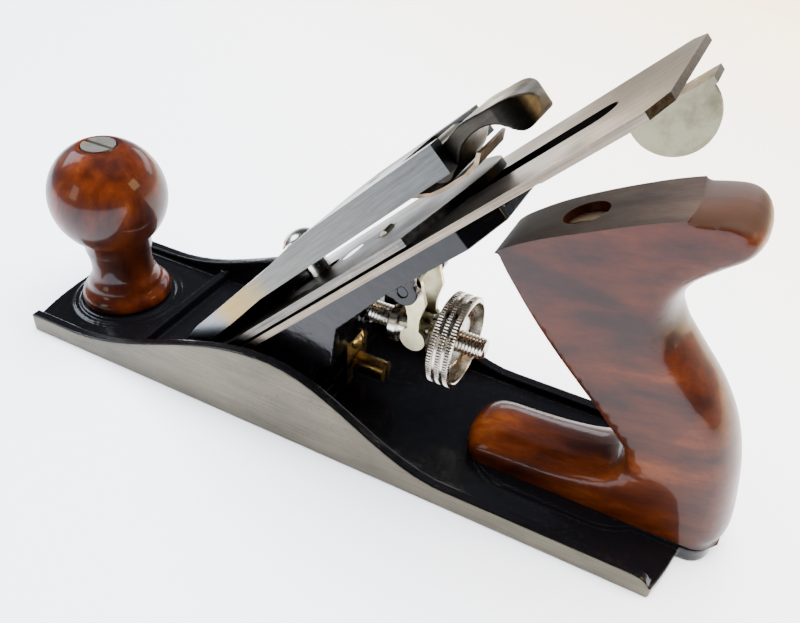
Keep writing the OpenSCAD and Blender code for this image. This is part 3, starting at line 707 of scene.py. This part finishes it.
@dataclass
class Finishes:
    """Every material of the plane, made once."""

    casting: Material = built(PaintedCasting())
    enamel: Material = built(Japanning())
    iron: Material = built(
        BrushedSteel("iron_steel", "#8b7e6e", "#4b4339", 0.32, 0.03, 1.3, slot_half=12.0)
    )
    cap_iron: Material = built(
        # the middle under the lever cap gets painted shade with some grime
        BrushedSteel("cap_iron_steel", "#7b776f", "#3b3833", 0.34, 0.05, 0.9, shaded_half=14.5)
    )
    lever_cap: Material = built(
        BrushedSteel(
            "lever_cap_steel", "#9b9890", "#565550", 0.32, 0.016, 1.1,
            # painted reflection bands: golden and grey, with the pale bluish nose partly the steel's own
            # finish
            bands=(
                (-26.0, "#7f8790"), (-3.0, "#767b80"), (6.0, "#93783f"),
                (18.0, "#7d6a41"), (27.0, "#53534f"), (92.0, "#3e403f"),
            ),
        )
    )
    cam: Material = built(
        BrushedSteel("cam_iron", "#9a907c", "#4a463e", 0.34, 0.12, 0.5, blotch=0.7, flank_dark=0.85)
    )
    nickel: Material = built(Plate("nickel", "#cdc7bb", "#6b5c48", 0.14, 0.45))
    lateral: Material = built(Plate("lateral_nickel", "#77725c", "#4d4836", 0.24, 0.6))
    nut: Material = built(Plate("nut_steel", "#d6d1c6", "#8b8375", 0.46, 0.35))
    spring: Material = built(Plate("spring_steel", "#8d7a62", "#3b342b", 0.30, 0.8))
    sheet: Material = built(Plate("plated_sheet", "#cfc7a4", "#a08f4c", 0.30, 0.55))
    brassy: Material = built(Plate("yellow_plate", "#c4a66a", "#6e5528", 0.22, 0.6))
    knob_wood: Material = built(StainedBeech("knob_wood", Grain.UPRIGHT))
    tote_wood: Material = built(
        StainedBeech("tote_wood", Grain.ALONG_SOLE, aged_above=72.0)
    )
    worn_wood: Material = built(StainedBeech("worn_wood", Grain.ALONG_SOLE, worn=True))


# ---- sub-assemblies


@dataclass
class Body:
    """Sole casting."""

    finishes: Finishes
    voxel: float = 0.42
    smoothing: int = 4

    def build(self) -> None:
        """Dresses the casting with rounded enamel edges."""
        obj = node("body_casting")
        dress(obj, self.finishes.casting)
        cast_skin(obj, self.voxel, self.smoothing)
        LOG.info("body casting dressed")


@dataclass
class Frog:
    """Frog with its screws, clip and adjusting screw."""

    finishes: Finishes
    voxel: float = 0.40
    smoothing: int = 3

    def build(self) -> None:
        """Dresses the casting and the plated pieces."""
        obj = node("frog")
        dress(obj, self.finishes.enamel)
        cast_skin(obj, self.voxel, self.smoothing)
        for name in (
            "frog_screws", "frog_screw_washers", "frog_adjusting_screw", "frog_clip", "frog_clip_screw",
        ):
            dress(node(name), self.finishes.brassy)
            bevel(node(name), 0.25)
        LOG.info("frog dressed")


def threaded_rod(
    x0: float, x1: float, radius: float, pitch: float, depth: float, chamfer: float, hand: int
) -> tuple[list[Point3], list[list[int]]]:
    """Makes a threaded rod along x.

    Args:
        x0: Start of the rod.
        x1: End of the rod.
        radius: Crest radius.
        pitch: Distance between threads.
        depth: Depth of the thread.
        chamfer: Length of the chamfer at each end.
        hand: 1 for a right-hand thread, -1 for a left-hand one.

    Returns:
        Vertices and faces.
    """
    steps, per_pitch = 40, 8
    rows = max(2, int((x1 - x0) / pitch * per_pitch))
    verts: list[Point3] = []
    for i in range(rows + 1):
        x = x0 + (x1 - x0) * i / rows
        end = min(x - x0, x1 - x) / chamfer
        for k in range(steps):
            phase = (x / pitch - hand * k / steps) % 1.0
            tooth = abs(2 * phase - 1)
            tooth = min(1.0, max(0.0, (tooth - 0.1) / 0.8))
            r = radius - depth * (1 - tooth)
            r = min(r, radius - depth * 1.6 * max(0.0, 1 - end))
            angle = TAU * k / steps
            verts.append((x, r * math.cos(angle), r * math.sin(angle)))
    faces = ring_faces(rows + 1, steps)
    faces.append(list(range(steps)))
    faces.append([rows * steps + k for k in range(steps)])
    return verts, faces


@dataclass
class DepthAdjuster:
    """Stud, hub, knurled wheel and yoke."""

    finishes: Finishes
    pitch: float = 1.058
    thread_depth: float = 0.42
    teeth: int = 96
    tooth_depth: float = 0.42
    bands: int = 3
    groove: float = 0.9
    groove_depth: float = 0.85
    groove_side: float = 0.08
    band_drop: float = 0.55
    band_edge: float = 0.3
    end_margin: float = 0.25
    edge_drop: float = 0.9
    rim: float = 1.7
    dish: float = 4.6
    rings: int = 9
    ring_height: float = 0.22
    floor_r: float = 8.6
    boss_depth: float = 2.6
    bore_inset: float = 3.4
    samples_per_tooth: int = 5

    def build(self) -> None:
        """Builds the stud's thread and the wheel, and dresses the rest."""
        self.stud()
        self.wheel()
        for name, material in (("depth_hub", self.finishes.nickel), ("yoke", self.finishes.sheet),
                               ("yoke_pin", self.finishes.enamel)):
            dress(node(name), material)
            bevel(node(name), 0.3)
        LOG.info("depth adjuster built")

    def axis(self, name: str) -> tuple[np.ndarray, np.ndarray, Matrix]:
        """Reads a piece turned about the stud's axis.

        Args:
            name: Name of the CAD node.

        Returns:
            Its low and high corner, and the matrix that moves the x axis onto its axis.
        """
        low, high = box_mm(name)
        centre = (low + high) / 2
        return low, high, Matrix.Translation((0, centre[1], centre[2]))

    def stud(self) -> None:
        """Cuts the thread of the stud."""
        low, high, shift = self.axis("depth_stud")
        verts, faces = threaded_rod(
            low[0], high[0], (high[1] - low[1]) / 2, self.pitch, self.thread_depth, 1.0, -1
        )
        obj = mesh_object("depth_stud_thread", verts, faces, [self.finishes.nickel], crisp_deg=60)
        place(obj, shift)
        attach(obj, "frog")
        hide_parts("depth_stud")

    def wheel(self) -> None:
        """Turns the wheel, knurls its rim and dishes its rear face."""
        low, high, shift = self.axis("depth_wheel")
        radius = (high[2] - low[2]) / 2
        width = high[0] - low[0]
        hub_low, hub_high = box_mm("depth_hub")
        bore = (hub_high[2] - hub_low[2]) / 2 - self.bore_inset
        x0 = low[0]
        profile: list[Point2] = [(x0, bore), (x0, radius - self.edge_drop)]
        knurled: list[bool] = [False, False]
        band = width / self.bands
        for i in range(self.bands):
            a = x0 + i * band + (self.groove / 2 if i else self.end_margin)
            b = x0 + (i + 1) * band - (self.groove / 2 if i < self.bands - 1 else self.end_margin)
            for x, drop, cut in (
                (a, self.band_drop, False),
                (a + self.band_edge, 0.0, True),
                ((a + b) / 2, 0.0, True),
                (b - self.band_edge, 0.0, True),
                (b, self.band_drop, False),
            ):
                profile.append((x, radius - drop))
                knurled.append(cut)
            if i < self.bands - 1:
                profile.append((b + self.groove_side, radius - self.groove_depth))
                profile.append((b + self.groove - self.groove_side, radius - self.groove_depth))
                knurled += [False, False]
        x1 = x0 + width
        inner = radius - self.rim
        rear = [(x1, radius - self.edge_drop), (x1, inner + 0.25), (x1 - 0.25, inner)]
        rear.append((x1 - self.dish + 0.4, inner - 0.3))
        for i in range(self.rings):
            r = inner - 0.6 - (inner - 0.6 - self.floor_r) * i / (self.rings - 1)
            rear.append((x1 - self.dish + (self.ring_height if i % 2 else 0.0) - 0.04 * i, r))
        boss = x1 - self.boss_depth
        rear += [(x1 - self.dish - 0.2, 8.3), (boss - 0.4, 8.1), (boss, 7.6), (boss, bore)]
        profile += rear
        knurled += [False] * len(rear)
        steps = self.teeth * self.samples_per_tooth

        def tooth(angle: float, index: int) -> float:
            """Depth of the knurl at an angle."""
            if not knurled[index]:
                return 0.0
            phase = (angle * self.teeth / TAU) % 1.0
            return -self.tooth_depth * min(1.0, abs(2 * phase - 1) * 1.25)

        verts, faces = lathe(profile, steps, tooth)
        last = (len(profile) - 1) * steps
        faces += [[k, last + k, last + (k + 1) % steps, (k + 1) % steps] for k in range(steps)]
        obj = mesh_object("depth_wheel_knurled", verts, faces, [self.finishes.nickel], crisp_deg=25)
        place(obj, shift)
        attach(obj, "wheel")
        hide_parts("depth_wheel")


@dataclass
class Blade:
    """Iron, cap iron, their screw and the lateral lever."""

    finishes: Finishes

    def build(self) -> None:
        """Dresses each piece."""
        for name, material, edge in (
            ("plane_iron", self.finishes.iron, 0.18),
            ("cap_iron", self.finishes.cap_iron, 0.25),
            ("cap_iron_screw", self.finishes.nickel, 0.3),
            ("lateral_lever", self.finishes.lateral, 0.3),
            ("lateral_rivet", self.finishes.lateral, 0.15),
            ("lateral_roller", self.finishes.nickel, 0.3),
        ):
            dress(node(name), material)
            bevel(node(name), edge)
        LOG.info("iron and lateral lever dressed")


@dataclass
class Clamp:
    """Lever cap, its screw, cam lever, pin and spring."""

    finishes: Finishes
    voxel: float = 0.28
    smoothing: int = 6

    def build(self) -> None:
        """Dresses each piece."""
        dress(node("lever_cap"), self.finishes.lever_cap)
        bevel(node("lever_cap"), 0.4)
        dress(node("cam_lever"), self.finishes.cam)
        cast_skin(node("cam_lever"), self.voxel, self.smoothing)
        dress(node("lever_cap_spring"), self.finishes.spring)
        for name in ("lever_cap_screw", "cam_pin", "spring_rivet"):
            dress(node(name), self.finishes.nickel)
            bevel(node(name), 0.25)
        LOG.info("lever cap dressed")


@dataclass
class Knob:
    """Turned front knob and its fixings."""

    finishes: Finishes
    ball_r: float = 20.5
    ball_z: float = 48.2
    neck_r: float = 11.0
    foot_r: float = 16.4
    steps: int = 96

    def build(self) -> None:
        """Turns the knob and dresses its nut and rod."""
        low, high = box_mm("front_knob")
        x = (low[0] + high[0]) / 2
        seat, top = low[2], high[2]
        flat = math.degrees(math.acos((top - self.ball_z) / self.ball_r))
        nut_low, nut_high = box_mm("knob_nut")
        nut_r = (nut_high[1] - nut_low[1]) / 2
        foot = [
            (self.foot_r - 0.9, seat), (self.foot_r - 0.1, seat + 1.0), (self.foot_r, seat + 2.6),
            (self.foot_r - 0.7, seat + 4.3), (self.foot_r - 2.6, seat + 6.3),
            (self.neck_r + 2.0, seat + 8.4), (self.neck_r + 0.5, seat + 11.2),
            (self.neck_r, seat + 14.4), (self.neck_r + 0.1, seat + 18.0), (self.neck_r + 0.9, seat + 22.2),
        ]
        ball = arc(0, self.ball_z, self.ball_r, -54, 90 - flat - 3, 22)
        crown = [
            (nut_r + 1.3, top - 0.1), (nut_r + 0.5, top - 0.35), (nut_r + 0.2, top - 2.2), (1.0, top - 2.3),
        ]
        outline = spline(foot, 4) + ball + crown
        profile = [(z, r) for r, z in outline]
        verts, faces = lathe([(seat, 3.0)] + profile, self.steps)
        obj = mesh_object("front_knob_turned", verts, faces, [self.finishes.knob_wood], crisp_deg=50)
        place(obj, along_z(x, 0, 0))
        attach(obj, "base")
        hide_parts("front_knob")
        for name in ("knob_nut", "knob_rod"):
            dress(node(name), self.finishes.nut)
            bevel(node(name), 0.3)
        LOG.info("knob built")


@dataclass
class Stretch:
    """One stretch of the tote's outline, with its edge radius at both ends."""

    points: list[Point2]
    radius: Point2
    worn: bool = False


@dataclass
class Tote:
    """Carved rear handle.

    The outline is given from the rear end of the sole and the tote's seat.
    """

    finishes: Finishes
    thickness: float = 25.0
    tip_share: float = 0.80
    tip_len: float = 26.0
    spacing: float = 1.3
    grid: float = 3.0
    lean_deg: float = 25.0
    rear_gap: float = 0.5
    nut_gap: float = 0.3
    nut_head: float = 2.1
    seat_z: float = 5.0
    ring_steps: tuple[float, ...] = (0.006, 0.03, 0.08, 0.16, 0.27, 0.40, 0.56, 0.76)

    def stretches(self, x: float, z: float) -> list[Stretch]:
        """Lists the outline from the front of the foot, round by the horn.

        Args:
            x: Rear end of the tote.
            z: Height of its seat.

        Returns:
            The stretches in order, each from its first point to the next one's first.
        """
        def at(*pairs: Point2) -> list[Point2]:
            """Shifts pairs given back from the rear end and up from the seat."""
            return [(x - dx, z + dz) for dx, dz in pairs]

        toe = at((80.5, 0.0), (81.0, 2.4), (80.3, 5.6), (77.5, 8.6), (72.2, 10.2), (63.7, 10.6), (53.7, 11.4),
                 (44.7, 13.0), (37.6, 15.8), (34.3, 19.8), (35.7, 24.8))
        front = at((35.7, 24.8), (45.1, 35.2), (54.7, 45.2), (64.7, 56.0), (74.5, 67.6), (79.4, 74.6))
        top = at((79.4, 74.6), (76.6, 77.4), (68.0, 83.4), (56.0, 90.0), (43.5, 96.2), (35.0, 99.6))
        horn = at((35.0, 99.6), (26.6, 101.9), (21.6, 100.6), (19.0, 96.6), (20.4, 91.8), (25.0, 87.0),
                  (30.0, 81.4), (32.2, 75.4), (31.6, 69.6), (28.4, 64.0))
        back = at((28.4, 64.0), (22.4, 57.2), (15.2, 49.0), (9.2, 39.6), (4.8, 28.2), (1.9, 15.0), (0.6, 5.0),
                  (1.8, 0.0))
        base = at((1.8, 0.0), (30.0, 0.0), (60.0, 0.0), (80.5, 0.0))
        return [
            Stretch(toe, (7.0, 5.5)),
            Stretch(front, (5.5, 1.5)),
            Stretch(top, (0.0, 0.0), worn=True),
            Stretch(horn, (1.4, 8.0)),
            Stretch(back, (8.0, 8.5)),
            Stretch(base, (0.0, 0.0)),
        ]

    def outline(self, x: float, z: float) -> tuple[np.ndarray, np.ndarray, np.ndarray]:
        """Samples the outline evenly.

        Args:
            x: Rear end of the tote.
            z: Height of its seat.

        Returns:
            Points, their edge radius, and whether the edge is worn flat.
        """
        points: list[np.ndarray] = []
        radii: list[float] = []
        worn: list[bool] = []
        for stretch in self.stretches(x, z):
            curve = np.array(spline(stretch.points, 12))
            step = np.hypot(*np.diff(curve, axis=0).T)
            length = np.concatenate([[0], np.cumsum(step)])
            count = max(2, int(length[-1] / self.spacing))
            for k in range(count):
                t = k / count
                points.append(np.array([np.interp(t * length[-1], length, curve[:, c]) for c in (0, 1)]))
                radii.append(stretch.radius[0] * (1 - t) + stretch.radius[1] * t)
                worn.append(stretch.worn)
        return np.array(points), np.array(radii), np.array(worn)

    def half_at(self, where: np.ndarray, points: np.ndarray, radii: np.ndarray) -> np.ndarray:
        """Half thickness of the tote over places in its side view.

        Args:
            where: Places to measure.
            points: Outline points.
            radii: Edge radius at each outline point.

        Returns:
            Half thickness at each place.
        """
        a, b = points, np.roll(points, -1, axis=0)
        ra, rb = radii, np.roll(radii, -1)
        keep = (ra > 0.2) & (rb > 0.2)
        a, b, ra, rb = a[keep], b[keep], ra[keep], rb[keep]
        ab = b - a
        near = np.full(len(where), 1.0)
        for i in range(len(a)):
            t = np.clip(((where - a[i]) @ ab[i]) / (ab[i] @ ab[i]), 0, 1)
            gap = np.hypot(*(where - a[i] - t[:, None] * ab[i]).T)
            near = np.minimum(near, gap / (ra[i] * (1 - t) + rb[i] * t))
        ahead = np.clip((where[:, 0] - points[:, 0].min() - 2.0) / self.tip_len, 0, 1)
        high = np.clip((where[:, 1] - self.seat_z - 40.0) / 25.0, 0, 1)
        narrow = 1 - (1 - self.tip_share) * high * (1 - ahead) ** 1.6
        return self.thickness / 2 * narrow * np.sqrt(np.clip(1 - (1 - near) ** 2.3, 0, 1))

    def build(self) -> None:
        """Carves the handle, cuts the nut's recess and dresses the fixings."""
        high = box_mm("rear_tote")[1]
        points, radii, worn = self.outline(float(high[0]) + self.rear_gap, self.seat_z)
        count = len(points)
        ahead, behind = np.roll(points, -1, axis=0), np.roll(points, 1, axis=0)
        tangent = ahead - behind
        normal = np.stack([tangent[:, 1], -tangent[:, 0]], 1) / np.hypot(*tangent.T)[:, None]
        rings = [
            points[i] + normal[i] * (share * max(radii[i], 3.0))
            for share in self.ring_steps
            for i in range(count)
        ]
        inner = np.array(rings)
        keep = self.inside(inner, points) & (self.gap(inner, points) > 0.04)
        inner = inner[keep]
        grid_x = np.arange(points[:, 0].min(), points[:, 0].max(), self.grid)
        grid_z = np.arange(points[:, 1].min(), points[:, 1].max(), self.grid)
        grid = np.array([(gx, gz) for gx in grid_x for gz in grid_z])
        grid = grid[self.inside(grid, points) & (self.gap(grid, points) > 1.5)]
        every = [Vector(p) for p in np.vstack([points, inner, grid])]
        edges = [(i, (i + 1) % count) for i in range(count)]
        out = geometry.delaunay_2d_cdt(every, edges, [], 1, 1e-5)
        flat = np.array([tuple(v) for v in out[0]])
        half = self.half_at(flat, points, radii)
        total = len(flat)
        verts = [(p[0], sign * h, p[1]) for sign in (-1, 1) for p, h in zip(flat, half)]
        faces: list[list[int]] = []
        slots: list[int] = []
        for face in out[2]:
            faces += [list(face), [f + total for f in reversed(face)]]
            slots += [0, 0]
        tree = {(round(v[0], 4), round(v[1], 4)): i for i, v in enumerate(flat)}
        ids = [tree.get((round(p[0], 4), round(p[1], 4)), i) for i, p in enumerate(points)]
        for i in range(count):
            a, b = ids[i], ids[(i + 1) % count]
            if half[a] < 1e-3 and half[b] < 1e-3:
                continue
            faces.append([a, b, b + total, a + total])
            slots.append(1 if worn[i] else 0)
        obj = mesh_object(
            "rear_tote_carved", verts, faces, [self.finishes.tote_wood, self.finishes.worn_wood], slots, 42
        )
        self.recess(obj)
        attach(obj, "base")
        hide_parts("rear_tote")
        for name in ("tote_nut", "tote_rod"):
            dress(node(name), self.finishes.nut)
            bevel(node(name), 0.3)
        LOG.info("tote built with %d faces", len(faces))

    def recess(self, obj: Object) -> None:
        """Cuts the recess of the nut.

        Args:
            obj: The carved tote.
        """
        low, high = box_mm("tote_nut")
        radius = (high[1] - low[1]) / 2 + self.nut_gap
        lean = math.radians(self.lean_deg)
        axis = np.array([-math.sin(lean), 0.0, math.cos(lean)])
        rod = np.array([v.co[:] for v in node("tote_rod").data.vertices]) / MM
        foot = rod[(rod @ axis) < (rod @ axis).min() + 0.01].mean(0)
        nut = np.array([v.co[:] for v in node("tote_nut").data.vertices]) / MM
        head = float(((nut - foot) @ axis).max()) - self.nut_head
        verts, faces = lathe([(head, 0.01), (head, radius), (head + 40, radius), (head + 40, 0.01)], 48)
        cutter = mesh_object("tote_recess_cutter", verts, faces, [self.finishes.tote_wood])
        place(cutter, along_z(float(foot[0]), 0, float(foot[2]), self.lean_deg))
        cut = obj.modifiers.new("Recess", "BOOLEAN")
        cut.operation = "DIFFERENCE"
        cut.solver = "EXACT"
        cut.object = cutter
        bpy.context.view_layer.objects.active = obj
        bpy.ops.object.modifier_apply(modifier=cut.name)
        bpy.data.objects.remove(cutter)
        smooth_by_angle(obj, 42)

    @staticmethod
    def inside(where: np.ndarray, points: np.ndarray) -> np.ndarray:
        """Tells which places are inside a closed outline."""
        result = np.zeros(len(where), bool)
        x, z = where[:, 0], where[:, 1]
        ahead = np.roll(points, -1, axis=0)
        for (x0, z0), (x1, z1) in zip(points, ahead):
            crossing = (z0 > z) != (z1 > z)
            with np.errstate(divide="ignore", invalid="ignore"):
                at = (x1 - x0) * (z - z0) / (z1 - z0) + x0
            result ^= crossing & (x < at)
        return result

    @staticmethod
    def gap(where: np.ndarray, points: np.ndarray) -> np.ndarray:
        """Distance from each place to a closed outline."""
        best = np.full(len(where), np.inf)
        ahead = np.roll(points, -1, axis=0)
        for a, b in zip(points, ahead):
            ab = b - a
            t = np.clip(((where - a) @ ab) / (ab @ ab), 0, 1)
            best = np.minimum(best, np.hypot(*(where - a - t[:, None] * ab).T))
        return best


# ---- studio


@dataclass
class Studio:
    """Floor, light and camera."""

    floor_size: float = 4.0
    world_strength: float = 1.2
    eye: Point3 = (95.24, -171.25, 188.32)
    right: Point3 = (0.88811, 0.45716, 0.04756)
    up: Point3 = (-0.31399, 0.52767, 0.78933)
    lens: float = 34.7

    def build(self) -> None:
        """Builds the stage."""
        self.floor()
        self.world()
        self.lights()
        self.camera()

    def floor(self) -> None:
        """Lays the pale floor, tinted with painted light: cool blue towards the front left, warm cream
        towards the back right.
        """
        sh = Shader("floor_paper")
        where = sh.place()
        across = sh.math("ADD", sh.math("MULTIPLY", where.outputs[0], 0.8), where.outputs[1])
        # painted light colour: cool blue on one side, warm cream on the other
        tint = sh.ramp(sh.span(across, -0.35, 0.75), [(0.0, "#e9f0ff"), (0.42, "#fafafa"), (1.0, "#ffe4b4")])
        surface = sh.surface({"Base Color": tint, "Roughness": 0.85, "Specular IOR Level": 0.1})
        paper = sh.finish(surface.outputs[0])
        half = self.floor_size / 2 / MM
        corners = [(-half, -half, 0), (half, -half, 0), (half, half, 0), (-half, half, 0)]
        obj = mesh_object("floor", corners, [[0, 1, 2, 3]], [paper])

    def world(self) -> None:
        """Sets soft light from all round, shaded by height and dimmer from the near side."""
        world = bpy.data.worlds.new("studio")
        bpy.context.scene.world = world
        world.use_nodes = True
        tree = world.node_tree
        tree.nodes.clear()
        kinds = ("TexCoord", "SeparateXYZ", "ValToRGB", "MapRange", "Math", "Background", "OutputWorld")
        coords, split, ramp, facing, shade, light, out = (
            tree.nodes.new("ShaderNode" + kind) for kind in kinds
        )
        for socket, value in (("From Min", -0.35), ("From Max", 0.55), ("To Min", 0.16), ("To Max", 1.0)):
            facing.inputs[socket].default_value = value
        shade.operation = "MULTIPLY"
        shade.inputs[1].default_value = self.world_strength
        stops = [(0.0, "#e6e9ee"), (0.28, "#9aa0a8"), (0.5, "#3f444c"), (0.72, "#4c525c"), (0.95, "#c9ced6")]
        set_stops(ramp.color_ramp, stops)
        for source, target in (
            (coords.outputs["Generated"], split.inputs[0]),
            (split.outputs["Z"], ramp.inputs["Fac"]),
            (split.outputs["Y"], facing.inputs["Value"]),
            (facing.outputs[0], shade.inputs[0]),
            (shade.outputs[0], light.inputs["Strength"]),
            (ramp.outputs["Color"], light.inputs["Color"]),
            (light.outputs[0], out.inputs["Surface"]),
        ):
            tree.links.new(source, target)

    def lights(self) -> None:
        """Hangs the soft lights."""
        for name, where, aim, size, power, colour, seen in (
            ("fill", (0.1, 0.2, 1.5), (0, 0, 0), (1.6, 1.6), 175.0, "#fbfcff", False),
            ("window", (-1.0, 0.05, 0.75), (0, 0, 0.03), (0.5, 0.6), 8.0, "#e6f0ff", True),
            ("behind", (-0.05, 1.2, 0.35), (0, 0, 0.05), (0.9, 0.25), 4.0, "#f2f6ff", True),
            ("warm", (0.95, 0.35, 0.6), (0, 0, 0.05), (0.35, 0.35), 4.0, "#ffd9a0", True),
            ("front", (-0.45, -0.85, 0.40), (0, 0, 0.04), (0.25, 0.4), 1.6, "#fff1dc", True),
        ):
            data = bpy.data.lights.new(name, "AREA")
            data.shape = "RECTANGLE"
            data.size, data.size_y = size
            data.energy = power
            data.color = srgb(colour)[:3]
            lamp = bpy.data.objects.new(name, data)
            bpy.context.scene.collection.objects.link(lamp)
            lamp.location = where
            lamp.rotation_euler = (Vector(aim) - Vector(where)).to_track_quat("-Z", "Y").to_euler()
            lamp.visible_glossy = seen

    def camera(self) -> None:
        """Sets the camera at the viewing angle."""
        data = bpy.data.cameras.new("camera")
        data.lens = self.lens
        data.clip_start = 0.01
        data.clip_end = 20
        cam = bpy.data.objects.new("camera", data)
        bpy.context.scene.collection.objects.link(cam)
        right, up = Vector(self.right).normalized(), Vector(self.up).normalized()
        back = right.cross(up)
        turn = Matrix((right, up, back)).transposed().to_4x4()
        cam.matrix_world = Matrix.Translation(Vector(self.eye) * MM) @ turn
        bpy.context.scene.camera = cam


def main() -> None:
    """Builds the whole scene."""
    logging.basicConfig(level=logging.INFO, format="%(name)s: %(message)s")
    finishes = Finishes()
    parts: Iterable = (
        Body(finishes),
        Frog(finishes),
        DepthAdjuster(finishes),
        Blade(finishes),
        Clamp(finishes),
        Knob(finishes),
        Tote(finishes),
        Studio(),
    )
    for part in parts:
        part.build()


if __name__ == "__main__":
    main()
